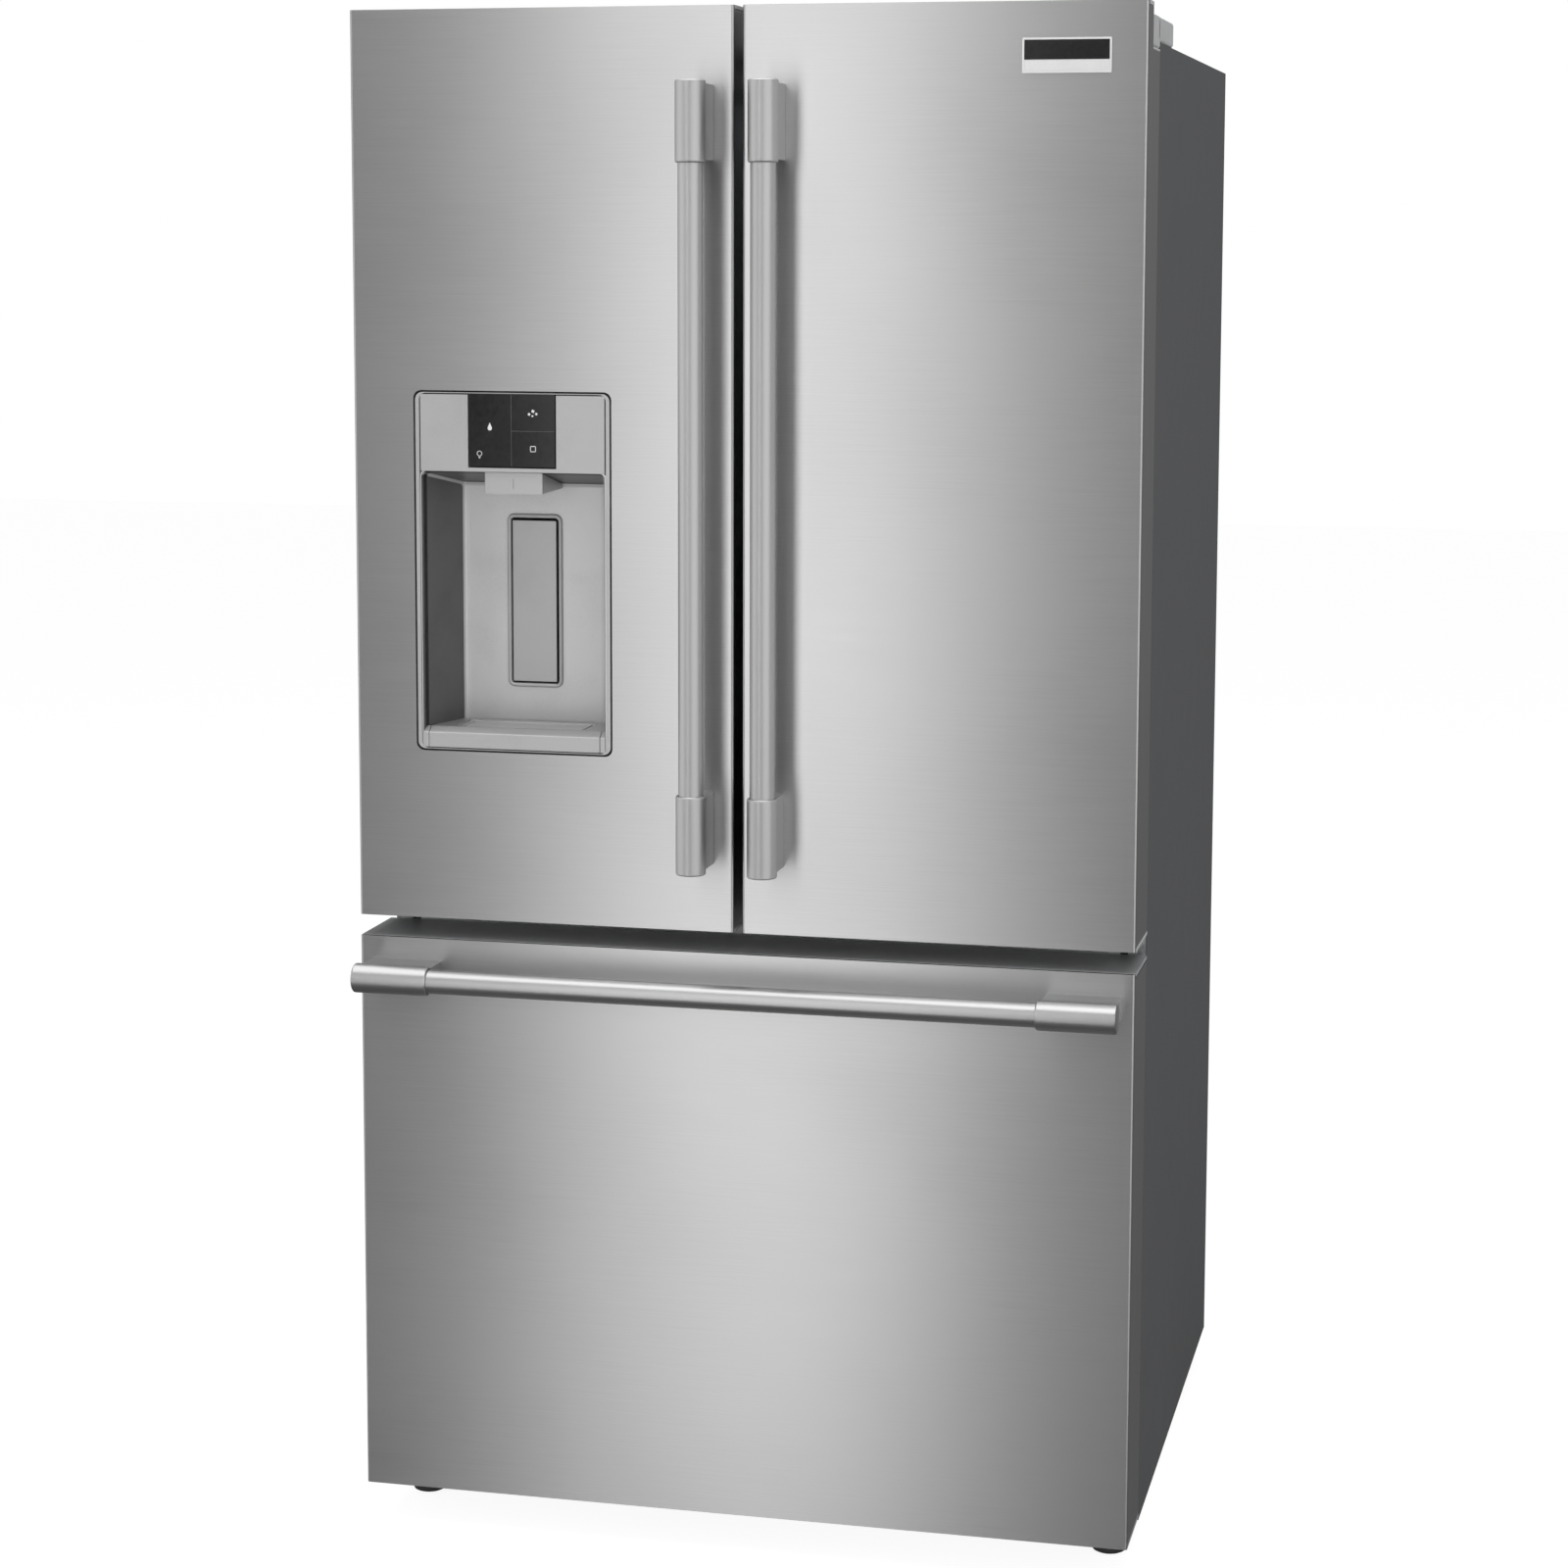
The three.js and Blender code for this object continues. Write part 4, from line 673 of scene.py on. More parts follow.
def bead(form, outline, depth, radius):
    """A round bead along a closed outline that lies upright at that depth."""
    angles = [2 * math.pi * k / 10 for k in range(10)]
    loops = []
    for i, (x, z) in enumerate(outline):
        (ax, az), (bx, bz) = outline[i - 1], outline[(i + 1) % len(outline)]
        out = Vector((bz - az, 0, ax - bx)).normalized()
        loops.append([form.verts.new((Vector((x, depth, z)) + out * (radius * math.cos(a))
                                      + Vector((0, radius * math.sin(a), 0))) * MM) for a in angles])
    bridge(form, loops, closed=True)


paddle_rim = made_of((bead, rounded(*grown(POCKET, 2.6), 6.5), RECESS_REAR - 0.6, 2.5),
                     (ring, grown(POCKET, 4.6), grown(POCKET, 0.6), 7, "y", RECESS_REAR - 1.4,
                      RECESS_REAR + 0.4, 0.3))
place("paddle_rim", paddle_rim, silver_paint, "left_door", "silver_plastic")
(_, _, PADDLE_LOW), (_, _, PADDLE_HIGH) = span("dispenser_paddle")
paddle = made_of((block, about(DISP_MID, 26.6), (RECESS_REAR - 3.4, RECESS_REAR),
                  (PADDLE_LOW, PADDLE_HIGH), 0.9),
                 (block, about(DISP_MID, 20), (RECESS_REAR - 0.5, RECESS_REAR + 4),
                  (PADDLE_HIGH - 9, PADDLE_HIGH - 2), 0.8))
place("paddle_plate", paddle, silver_paint, "paddle", "silver_plastic", "dispenser_paddle")
# The spout block hangs from the recess ceiling: water runs from its front edge, ice drops
# through the dark chute behind. A short groove marks its middle.
(NOZZLE_X0, NOZZLE_Y0, NOZZLE_Z0), (NOZZLE_X1, NOZZLE_Y1, _) = span("dispenser_nozzle")
nozzle_side = [(NOZZLE_Y0, NOZZLE_Z0), (NOZZLE_Y1, NOZZLE_Z0 + 1), (NOZZLE_Y1, RECESS_BACK[1][1] + 1),
               (NOZZLE_Y0, FASCIA_LOW - 0.6)]
mark = made_of((block, about(DISP_MID, 0.6), (NOZZLE_Y0 - 1, NOZZLE_Y0 + 0.8),
                (NOZZLE_Z0 + 6, NOZZLE_Z0 + 17), 0.15, 1))
chute = made_of((block, about(DISP_MID, 22), (NOZZLE_Y0 + 24, NOZZLE_Y1 - 8),
                 (NOZZLE_Z0 - 3, NOZZLE_Z0 + 12), 6, 4))
spout = carve(made_of((prism, nozzle_side, "x", NOZZLE_X0, NOZZLE_X1, 2.2)), mark, chute)
place("spout_block", spout, silver_paint, "left_door", "silver_plastic", "dispenser_nozzle")
chute_lining = made_of((block, about(DISP_MID, 23), (NOZZLE_Y0 + 23, NOZZLE_Y1 - 7),
                        (NOZZLE_Z0 + 10, NOZZLE_Z0 + 12.5), 0.6),
                       (turned, ((4.6, 0), (5.4, 0.4), (5.6, 5), (0, 5)),
                        (DISP_MID, NOZZLE_Y0 + 12, NOZZLE_Z0 - 0.6), (0, 0, 1)))
place("ice_chute", chute_lining, black_abs, "left_door", "black_plastic")

# The sill and drip tray lift out: a chamfered lip in front with a clip at each end, and behind
# it a tray with a raised rim round its plate.
SILL_Z = DISP_Z0 + SURROUND_TOP + GROOVE
TRAY_TOP = 960.5
sill_profile = [(FACE_Y, SILL_Z), (FACE_Y, SILL_Z + 16.5), (FRONT_Y + 1.2, SILL_Z + 18.2),
                (FRONT_Y + 8.5, TRAY_TOP + 0.3), (FRONT_Y + 12, TRAY_TOP), (FRONT_Y + 12, TRAY_TOP - 6),
                (FRONT_Y + 9, SILL_Z)]
SILL_END = 7.0          # the sill's ends are separate clips
SILL_X = (FASCIA_X[0] + 0.3, FASCIA_X[0] + SILL_END, FASCIA_X[1] - SILL_END, FASCIA_X[1] - 0.3)
sill = made_of(*((prism, sill_profile, "x", x0 + 0.25, x1 - 0.25, 0.6) for x0, x1 in zip(SILL_X, SILL_X[1:])))
place("dispenser_sill", sill, silver_paint, "left_door", "silver_plastic", "drip_tray")


def tray_slab(form, y0, y1, low, high, rim):
    """A level plate that narrows with the recess."""
    share = [(y - FRONT_Y) / (RECESS_REAR - FRONT_Y) for y in (y0, y1)]
    xs = [[front + (rear - front) * part for part in share]
          for front, rear in zip(RECESS_FRONT[0], RECESS_BACK[0])]
    prism(form, [(xs[0][0] + 0.4, y0), (xs[1][0] - 0.4, y0), (xs[1][1] - 0.4, y1), (xs[0][1] + 0.4, y1)],
          "z", low, high, rim)


sunken = made_of((block, about(DISP_MID, 78), (FRONT_Y + 20, RECESS_REAR - 10),
                  (TRAY_TOP - 4.5, TRAY_TOP + 3), 3.5, 4))
tray = made_of((tray_slab, FRONT_Y + 12.3, RECESS_REAR - 1.2, TRAY_TOP - 9, TRAY_TOP - 0.4, 0.5))
tray = carve(tray, sunken)
place("drip_tray_body", tray, silver_paint, "left_door", "silver_plastic")
tray_plate = [about(DISP_MID, 73), (FRONT_Y + 23, RECESS_REAR - 12)]
plate = made_of((block, *tray_plate, (TRAY_TOP - 4.4, TRAY_TOP - 2.8), 0.5),
                (ring, tray_plate, grown(tray_plate, -2.2), 3, "z", TRAY_TOP - 3.2, TRAY_TOP - 1.4, 0.5))
# The plate takes the lighter grey of the rear wall: painted light.
place("drip_tray_plate", plate, silver_painted_light, "left_door", "silver_plastic")

# Touch glass: 3 mm tempered glass printed black on its back, with grey printed divisions and
# icons for water, crushed ice, cubes and the recess lamp.
GLASS_FRONT = FRONT_Y - 0.6
PRINT_Y = GLASS_FRONT - 0.08
LINE = 0.4
# Tempered glass over black: deep, smooth and sharply reflecting.
tempered_black = coated("tempered_black_glass", "#151515", "#191919", 0.14, 4.0, 0.001, Coat_Weight=0.3)
# Screen-printed inks: flat and matt, pale for the icons and dark grey for the divisions.
screen_ink = coated("pale_screen_ink", "#c9c9c9", "#d6d6d6", 0.6, 0.8, 0.01)
screen_line = coated("grey_screen_ink", "#505050", "#5a5a5a", 0.6, 0.8, 0.01)
glass = made_of((block, (GLASS_X0, GLASS_X1), (GLASS_FRONT, FRONT_Y + 2.5), (GLASS_Z0, GLASS_Z1), 0.5))
place("touch_glass", glass, tempered_black, "left_door", "black_glass", "dispenser_glass")


def printed(form, outline):
    """A printed patch on the glass, from points in X and Z."""
    prism(form, outline, "y", PRINT_Y, GLASS_FRONT + 0.02)


def disc(x, z, radius, steps=20):
    """The outline of a circle."""
    return [(x + radius * math.cos(2 * math.pi * i / steps), z + radius * math.sin(2 * math.pi * i / steps))
            for i in range(steps)]


def hoop(form, x, z, radius, width):
    """A printed ring, in sixteen flat pieces."""
    inner = radius - width
    for i in range(16):
        arc = [2 * math.pi * (i + part) / 16 for part in (0, 0.5, 1)]
        printed(form, [(x + radius * math.cos(a), z + radius * math.sin(a)) for a in arc]
                + [(x + inner * math.cos(a), z + inner * math.sin(a)) for a in arc[::-1]])


def stroke(form, ax, az, bx, bz, width):
    """A printed line of that width."""
    run = Vector((bx - ax, bz - az)).normalized() * (width / 2)
    printed(form, [(ax - run.y, az + run.x), (bx - run.y, bz + run.x), (bx + run.y, bz - run.x),
                   (ax + run.y, az - run.x)])


SPLIT_X = GLASS_X0 + 50.5
SPLIT_Z = GLASS_Z0 + 41

place("glass_divisions", made_of((stroke, SPLIT_X, GLASS_Z0 + 0.6, SPLIT_X, GLASS_Z1 - 0.6, LINE),
                                 (stroke, SPLIT_X + LINE, SPLIT_Z, GLASS_X1 - 0.6, SPLIT_Z, LINE)),
      screen_line, "left_door", "black_glass")
drop_at, bulb_at = (GLASS_X0 + 25, GLASS_Z0 + 44), (GLASS_X0 + 12.5, GLASS_Z0 + 15)
right_mid = (SPLIT_X + GLASS_X1) / 2
crushed_at, cube_at = (right_mid, SPLIT_Z + 21), (right_mid, GLASS_Z0 + 21)
drop = [(x, z) for x, z in disc(*drop_at, 2.6) if z < drop_at[1] + 1.4] + [(drop_at[0], drop_at[1] + 6.4)]
drop.sort(key=lambda point: math.atan2(point[1] - drop_at[1], point[0] - drop_at[0]))
icons = made_of((printed, drop), (hoop, *bulb_at, 3.1, 0.6),
                (stroke, bulb_at[0] - 1.3, bulb_at[1] - 4.0, bulb_at[0] + 1.3, bulb_at[1] - 4.0, 0.6),
                (stroke, bulb_at[0] - 0.8, bulb_at[1] - 5.2, bulb_at[0] + 0.8, bulb_at[1] - 5.2, 0.6))
for dx, dz, size in ((-4.4, -1.6, 1.9), (0.2, 1.8, 2.2), (4.2, -1.2, 1.7), (-0.4, -3.6, 1.3)):
    printed(icons, [(crushed_at[0] + dx + size * math.cos(math.radians(20 + 90 * i)),
                     crushed_at[1] + dz + size * math.sin(math.radians(20 + 90 * i))) for i in range(4)])
for ax, az, bx, bz in ((-3, -3, 3, -3), (3, -3, 3, 3), (3, 3, -3, 3), (-3, 3, -3, -3)):
    stroke(icons, cube_at[0] + ax, cube_at[1] + az, cube_at[0] + bx, cube_at[1] + bz, 0.8)
place("glass_icons", icons, screen_ink, "left_door", "black_glass")

# ---------------------------------------------------------------- hinge covers and hinges
# A grey ABS lid clips over each top hinge; its nose fills the notch in the door top. The
# plates are zinc-plated 4 mm steel with a turned pin, and the middle one shows its edge.
# Zinc plating, clear passivated: bright, with slight cloudy patches.
zinc_plate = coated("bright_zinc_plate", "#9fa1a3", "#bcbebf", 0.34, 6.0, 0.01, metallic=0.9, patch=25)

for side, name in ((-1, "left"), (1, "right")):
    (_, y0, z0), (_, y1, z1) = span("hinge_cover_" + name)
    outer, inner, nose = side * 451.8, side * 374.2, side * 402.0
    shoulder = -271.0   # where the nose meets the body of the lid
    lid = made_of((block, (inner, outer), (shoulder - 5, y1), (1738.6, z1), 4.0, 5),
                  (block, (nose, outer), (y0 + 0.4, shoulder + 6), (z0 + 0.4, z1 - 0.02), 3.0, 5),
                  (block, (inner + side * 12, outer - side * 12), (shoulder + 22, y1 - 12),
                   (z1 - 2, z1 + 0.9), 0.8))
    place("hinge_lid_" + name, lid, grey_abs, "cabinet", "grey_plastic", "hinge_cover_" + name)


def softened(node, material, width, smooth=True):
    """A CAD node kept as it is, with its edges broken by that width and a real finish."""
    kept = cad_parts[node]
    kept.data.materials.clear()
    kept.data.materials.append(material)
    worn = kept.modifiers.new("broken_edges", "BEVEL")
    worn.width = width * MM
    worn.segments = 2
    worn.limit_method = "ANGLE"
    worn.angle_limit = math.radians(35)
    worn.harden_normals = smooth


for name in ("top_hinge_left", "top_hinge_right", "mid_hinge_left", "mid_hinge_right"):
    softened(name, zinc_plate, 0.5)

# ---------------------------------------------------------------- cabinet shell
# One pre-painted steel wrapper forms the two sides and the top; a galvanised panel closes the
# back above a black ventilated cover. Hex screws hold both to the wrapper's rear flange.
# Dark grey baked enamel with a slight orange peel: a broad dull shine.
baked_enamel = coated("dark_grey_baked_enamel", "#4d4e50", "#515254", 0.42, 1.6, 0.02, metallic=0.25)
# Hot-dip galvanised sheet: small bright and dull spangles.
galvanised = coated("galvanised_sheet", "#a3a5a7", "#b0b2b4", 0.42, 9.0, 0.01, metallic=0.7, patch=30)
# Zinc-plated steel, tumbled: bright, with worn flats.
screw_steel = coated("zinc_plated_screw", "#8d8f91", "#a9abad", 0.35, 1.0, 0.01, metallic=0.95)
# Resin-coated fibreboard: black, matt and slightly rough.
coated_board = coated("black_coated_fibreboard", "#141414", "#1f1f1f", 0.62, 1.4, 0.04)
softened("cabinet_wrapper", baked_enamel, 0.8)
(BACK_X0, _, BACK_Z0), (BACK_X1, BACK_Y, BACK_Z1) = span("back_panel")
(_, _, COVER_Z0), (_, COVER_Y, COVER_Z1) = span("machine_cover")


def screw(form, at, towards):
    """A hexagon washer-head screw."""
    turned(form, ((0, 0), (6.0, 0), (6.0, 0.5), (4.4, 0.9), (0, 0.9)), at, towards, 24)
    base = Vector(at) + Vector(towards) * 0.8
    turned(form, ((0, 0), (3.7, 0), (3.7, 1.5), (3.2, 2.0), (0, 2.0)), base, towards, 6)


back = made_of((block, (BACK_X0, BACK_X1), (BACK_Y - 3, BACK_Y - 0.6), (BACK_Z0, BACK_Z1), 0.4))
for x in (-288, 0, 288):
    for z in (520, 960, 1400):
        ring(back, [about(x, 125), about(z, 190)], [about(x, 117), about(z, 182)], 22, "y", BACK_Y - 1.2,
             BACK_Y + 0.5, 0.8)
place("back_sheet", back, galvanised, "cabinet", "zinc", "back_panel")
vents = [made_of((block, about((i - 4) * 85, 24), (COVER_Y - 9, COVER_Y + 5), (z, z + 11), 3.0, 3))
         for i in range(9) for z in (98, 153, 208)]
cover = made_of((block, (BACK_X0, BACK_X1), (COVER_Y - 2.5, COVER_Y), (COVER_Z0, COVER_Z1), 0.6))
cover = carve(cover, *vents)
place("machine_room_cover", cover, coated_board, "cabinet", "black_plastic", "machine_cover")
screws = bmesh.new()
for z in (330, 790, 1250, 1715):
    for x in (-440, 440):
        screw(screws, (x, BACK_Y - 0.7, z), (0, 1, 0))
for x in (-440, -220, 0, 220, 440):
    for z in (285, 52):
        screw(screws, (x, COVER_Y - 0.1, z), (0, 1, 0))
place("rear_screws", screws, screw_steel, "cabinet", "zinc")

# ---------------------------------------------------------------- base, feet and machine room
# A folded galvanised frame carries the cabinet on two screw feet and two rear rollers. Behind
# it stand the black compressor, the finned condenser and its fan.
# Black condenser enamel, dipped: thin, with a dull gloss.
dipped_enamel = coated("black_condenser_enamel", "#202122", "#2c2d2e", 0.5, 2.0, 0.01)
# Polypropylene from a plain mould: waxy mid grey.
grey_polypropylene = coated("moulded_grey_polypropylene", "#8a8c8e", "#979a9c", 0.5, 1.0, 0.02)
# Stoved paint on the compressor's drawn shell: deep black with a wet shine.
stoved_paint = coated("black_stoved_paint", "#0f0f10", "#1a1a1b", 0.3, 2.0, 0.03)
# Cut polyurethane foam: cream, dull and open.
cabinet_foam = coated("polyurethane_foam", "#d9c98f", "#ebdfae", 0.9, 3.0, 0.3)
# Glass-filled nylon: black and slightly rough.
nylon = coated("black_nylon", "#151515", "#202020", 0.55, 1.0, 0.03)
# Rolled and zinc-plated thread: bright along its crests.
threaded = coated("zinc_plated_thread", "#8f9193", "#b9bbbd", 0.3, 2.0, 0.01, metallic=0.95)
for name, material, width in (("base_frame", galvanised, 0.6), ("condenser", dipped_enamel, 0.2),
                              ("condenser_fan", grey_polypropylene, 0.4), ("compressor", stoved_paint, 1.0),
                              ("insulation_foam", cabinet_foam, 1.0)):
    softened(name, material, width, False)

FOOT = ((0, 0), (17, 0), (19.2, 1.2), (19.8, 3), (19.8, 7), (18.6, 9), (9, 11), (8, 13), (0, 13))
WHEEL = ((0, 0), (3.9, 0), (3.9, 5.2), (8, 5.2), (8.5, 6.5), (14, 6.5), (14.6, 5.1), (16.2, 5.3), (17, 6.6),
         (17, 27.8), (16.2, 29.1), (14.6, 29.3), (14, 27.9), (8.5, 27.9), (8, 29.2), (3.9, 29.2), (3.9, 34.4),
         (0, 34.4))
PITCH_OF_THREAD = 1.6
for name in ("left", "right"):
    (x0, y0, z0), (x1, y1, z1) = span("leveling_foot_" + name)
    x, y = (x0 + x1) / 2, (y0 + y1) / 2
    place("foot_pad_" + name, made_of((turned, FOOT, (x, y, 0), (0, 0, 1))), nylon, "foot_" + name,
          "black_plastic", "leveling_foot_" + name)
    thread = [(0, 12)]
    for i in range(15):
        thread += [(4.9, 12.4 + i * PITCH_OF_THREAD), (4.1, 13.2 + i * PITCH_OF_THREAD)]
    place("foot_thread_" + name, made_of((turned, thread + [(4.6, z1), (0, z1)], (x, y, 0), (0, 0, 1), 28)),
          threaded, "foot_" + name, "zinc")
    (x0, y0, z0), (x1, y1, z1) = span("rear_roller_" + name)
    place("roller_wheel_" + name, made_of((turned, WHEEL, (x0, (y0 + y1) / 2, (z0 + z1) / 2), (1, 0, 0))),
          nylon, "roller_" + name, "black_plastic", "rear_roller_" + name)

# ---------------------------------------------------------------- liners
# Vacuum-formed white polystyrene rooms with soft corners and a flange that lips over the
# cabinet front. The fresh-food one carries an air tower, two shelf ladders and its lamps.
ROOM_X = 404.0
FRESH_Z = (772.0, 1690.0)
FREEZER_Z = (95.0, 678.0)
ROOM_REAR = 395.0
CASE_FRONT = -265.0
STEP_Y, STEP_Z = (180, 232), (300, 352)     # the sloping step over the machine room
LIP_X = 421.7
WALL = 2.4
# Polystyrene sheet drawn over a polished mould: white with a soft gloss.
white_liner = coated("vacuum_formed_polystyrene", "#ebecec", "#eeefef", 0.3, 3.0, 0.01)


def freezer_side(grow):
    """The freezer room from the side, stepped over the machine room."""
    low, high = grown([FREEZER_Z], grow)[0]
    return [(CASE_FRONT + 3, low), (STEP_Y[0] + grow, low), (STEP_Y[0] + grow, STEP_Z[0] - grow * 0.4),
            (STEP_Y[1] + grow * 0.4, STEP_Z[1] - grow), (ROOM_REAR + grow, STEP_Z[1] - grow),
            (ROOM_REAR + grow, high), (CASE_FRONT + 3, high)]


def freezer_room():
    """The hollow of the freezer room, open to the front, with soft corners."""
    outline = [(y - (40 if y < CASE_FRONT + 4 else 0), z) for y, z in freezer_side(0)]
    form = made_of((prism, outline, "x", -ROOM_X, ROOM_X))
    round_over(form, form.edges, 14, 5)
    return form


def fresh_room():
    """The hollow of the fresh-food room."""
    return made_of((block, (-ROOM_X, ROOM_X), (CASE_FRONT - 40, ROOM_REAR), FRESH_Z, 16, 5))


fresh_form = made_of((block, about(0, ROOM_X + WALL), (CASE_FRONT + 2, ROOM_REAR + WALL),
                      *grown([FRESH_Z], WALL), 1))
freezer_form = made_of((prism, freezer_side(WALL), "x", -ROOM_X - WALL, ROOM_X + WALL))
ROOMS = (("fresh", fresh_form, fresh_room, (724.4, 1707.5), "fresh_food_liner"),
         ("freezer", freezer_form, freezer_room, (41.2, 723.6), "freezer_liner"))
for name, form, room, lip_z, node in ROOMS:
    lip = made_of((block, (-LIP_X, LIP_X), (CASE_FRONT + 0.3, CASE_FRONT + 2.8), lip_z, 0.5))
    place(name + "_room_shell", carve(form, room()), white_liner, "cabinet", "liner", node)
    place(name + "_room_lip", carve(lip, room()), white_liner, "cabinet", "liner")

tower = made_of((block, (-62, 62), (389.6, ROOM_REAR + 1), (972, 1660), 3.5, 4))
grilles = [made_of((block, (-40, 40), (380, 392.5), (z, z + 5), 1.2)) for base in (1060, 1250, 1440, 1600)
           for z in (base, base + 11, base + 22)]
place("air_tower", carve(tower, *grilles), white_liner, "cabinet", "liner")
ladders = bmesh.new()
for x in (-250, 250):
    block(ladders, (x - 13, x + 13), (390.5, ROOM_REAR + 1), (980, 1650), 1.5)
ladder_slots = [made_of((block, (x - 5 + 8 * k, x - 1 + 8 * k), (380, 393.2), (z, z + 16), 0.8))
                for x in (-252, 248) for k in (0, 1) for z in range(1000, 1640, 32)]
place("shelf_ladders", carve(ladders, *ladder_slots), zinc_plate, "cabinet", "zinc")

# Frosted polycarbonate lenses over the white lamps.
frosted_lens = coated("frosted_polycarbonate", "#f4f6f7", "#fafbfb", 0.5, 1.5, 0.02,
                      Emission_Color=linear("#f6faff"), Emission_Strength=1.1)
lenses = made_of((block, (-150, 150), (-150, -110), (FRESH_Z[1] - 3.5, FRESH_Z[1] + 1), 3),
                 (block, (-120, 120), (110, 150), (FRESH_Z[1] - 3.5, FRESH_Z[1] + 1), 3),
                 (block, (-110, 110), (-215, -190), (FREEZER_Z[1] - 3, FREEZER_Z[1] + 1), 2.5))
for side in (-1, 1):
    block(lenses, (side * (ROOM_X - 2.6), side * (ROOM_X + 1)), (-195, -170), (1010, 1590), 2.2)
place("lamp_lenses", lenses, frosted_lens, "cabinet", "liner")

# Control housing moulded in pale grey, on the ceiling behind the front lamp.
panel = made_of((block, (-130, 130), (-232, -170), (FRESH_Z[1] - 13, FRESH_Z[1] + 1), 5, 4))
place("control_housing", panel, grey_abs, "cabinet", "grey_plastic")
keys = bmesh.new()
for i in range(6):
    turned(keys, ((0, 0), (6.2, 0), (6.8, 0.6), (6.8, 1.2), (5.6, 1.9), (0, 2.1)),
           (-95 + i * 38, -203, FRESH_Z[1] - 12.4), (0, 0, -1), 32)
place("control_keys", keys, silver_paint, "cabinet", "silver_plastic")

# ---------------------------------------------------------------- shelves, crispers and ice maker
# Tempered glass shelves in moulded white rims with a satin front rail; clear styrene crispers
# run under the lowest one. The ice maker hangs in the upper left corner.
# Tempered soda-lime glass: clear, with a green edge.
shelf_glass = coated("tempered_shelf_glass", "#dcebe6", "#e6f2ee", 0.04, 30, 0.001, Transmission_Weight=0.92,
                     IOR=1.5)
# Crystal polystyrene: clear with a faint blue cast and softly polished.
crystal = coated("crystal_polystyrene", "#e4eef2", "#eef5f8", 0.08, 12, 0.01, Transmission_Weight=0.88,
                 IOR=1.57)
# Satin silver foil bonded to an extruded trim: even, with a soft metal shine.
satin_trim = coated("satin_silver_trim", "#bfc1c2", "#cbcccd", 0.32, 1.0, 0.01, metallic=0.6)
# Smoke-tinted polycarbonate: dark grey and glossy.
smoked = coated("smoked_polycarbonate", "#5d6468", "#6a7175", 0.12, 8, 0.005)

for name in ("crisper_cover", "shelf_lower", "shelf_upper_left", "shelf_upper_right"):
    (x0, y0, z0), (x1, y1, z1) = span(name)
    top = z1 - 4
    rim = made_of((block, (x0, x0 + 13), (y0 + 9, y1), (top - 11.5, top), 2.0),
                  (block, (x1 - 13, x1), (y0 + 9, y1), (top - 11.5, top), 2.0),
                  (block, (x0 + 9, x1 - 9), (y1 - 16, y1), (top - 11.5, top + 3), 2.0),
                  (block, (x0, x1), (y0 + 4, y0 + 22), (z0 + 1.5, top), 2.0))
    pane = made_of((block, (x0 + 8, x1 - 8), (y0 + 12, y1 - 8), (top - 6, top - 1.6), 0.7))
    place(name + "_pane", pane, shelf_glass, "cabinet", "clear", name)
    place(name + "_rim", rim, white_liner, "cabinet", "liner")
    place(name + "_rail", made_of((block, (x0, x1), (y0, y0 + 7), (z0, z1), 2.6, 4)), satin_trim, "cabinet",
          "clear")


def tub(xs, ys, zs, wall, corner):
    """An open box with round corners and the given wall. It is made taller, then cut off level."""
    spare = 40
    plan = [sorted(xs), sorted(ys)]
    hollow = made_of((block, *grown(plan, -wall), (zs[0] + wall, zs[1] + spare + 20), corner - wall, 5))
    whole = made_of((block, *plan, (zs[0], zs[1] + spare), corner, 5))
    above = made_of((block, *grown(plan, 9), (zs[1], zs[1] + spare + 50), 0.1, 1))
    return carve(whole, hollow, above)


for side, name in ((-1, "left"), (1, "right")):
    (x0, y0, z0), (x1, y1, z1) = span("crisper_" + name)
    body = "crisper_drawer_" + name
    place(name + "_crisper_tub", tub((x0 + 1, x1 - 1), (y0 + 9, y1), (z0, z1 - 1), 2.4, 14), crystal, body,
          "clear", "crisper_" + name)
    front = carve(made_of((block, (x0, x1), (y0, y0 + 10), (z0 + 2, z1 - 2), 3.5, 4)),
                  made_of((block, (x0 + 70, x1 - 70), (y0 - 6, y0 + 6.5), (z1 - 36, z1 - 16), 4, 4)))
    place(name + "_crisper_front", front, crystal, body, "clear")
    dial = made_of((block, (x0 + 26, x0 + 60), (y0 - 1.2, y0 + 1), (z1 - 30, z1 - 20), 1.2),
                   (block, (x0 + 38, x0 + 46), (y0 - 2.6, y0 + 1), (z1 - 32, z1 - 18), 1.2))
    place(name + "_crisper_slider", dial, satin_trim, body, "clear")

(x0, y0, z0), (x1, y1, z1) = span("ice_maker")
ice = carve(made_of((block, (x0, x1), (y0 + 6, y1), (z0, z1), 7, 4)),
            made_of((block, (x0 + 16, x1 - 16), (y0 + 2, y0 + 11), (z0 + 16, z1 - 46), 5, 4)))
block(ice, (x1 - 92, x1 - 26), (y0 + 0.2, y0 + 12), (z0 + 80, z0 + 97), 4, 4)
place("ice_maker_case", ice, white_liner, "cabinet", "liner", "ice_maker")
window = made_of((block, (x0 + 20, x1 - 104), (y0 + 8.4, y0 + 11.6), (z0 + 22, z1 - 52), 1.2))
place("ice_maker_window", window, smoked, "cabinet", "clear")

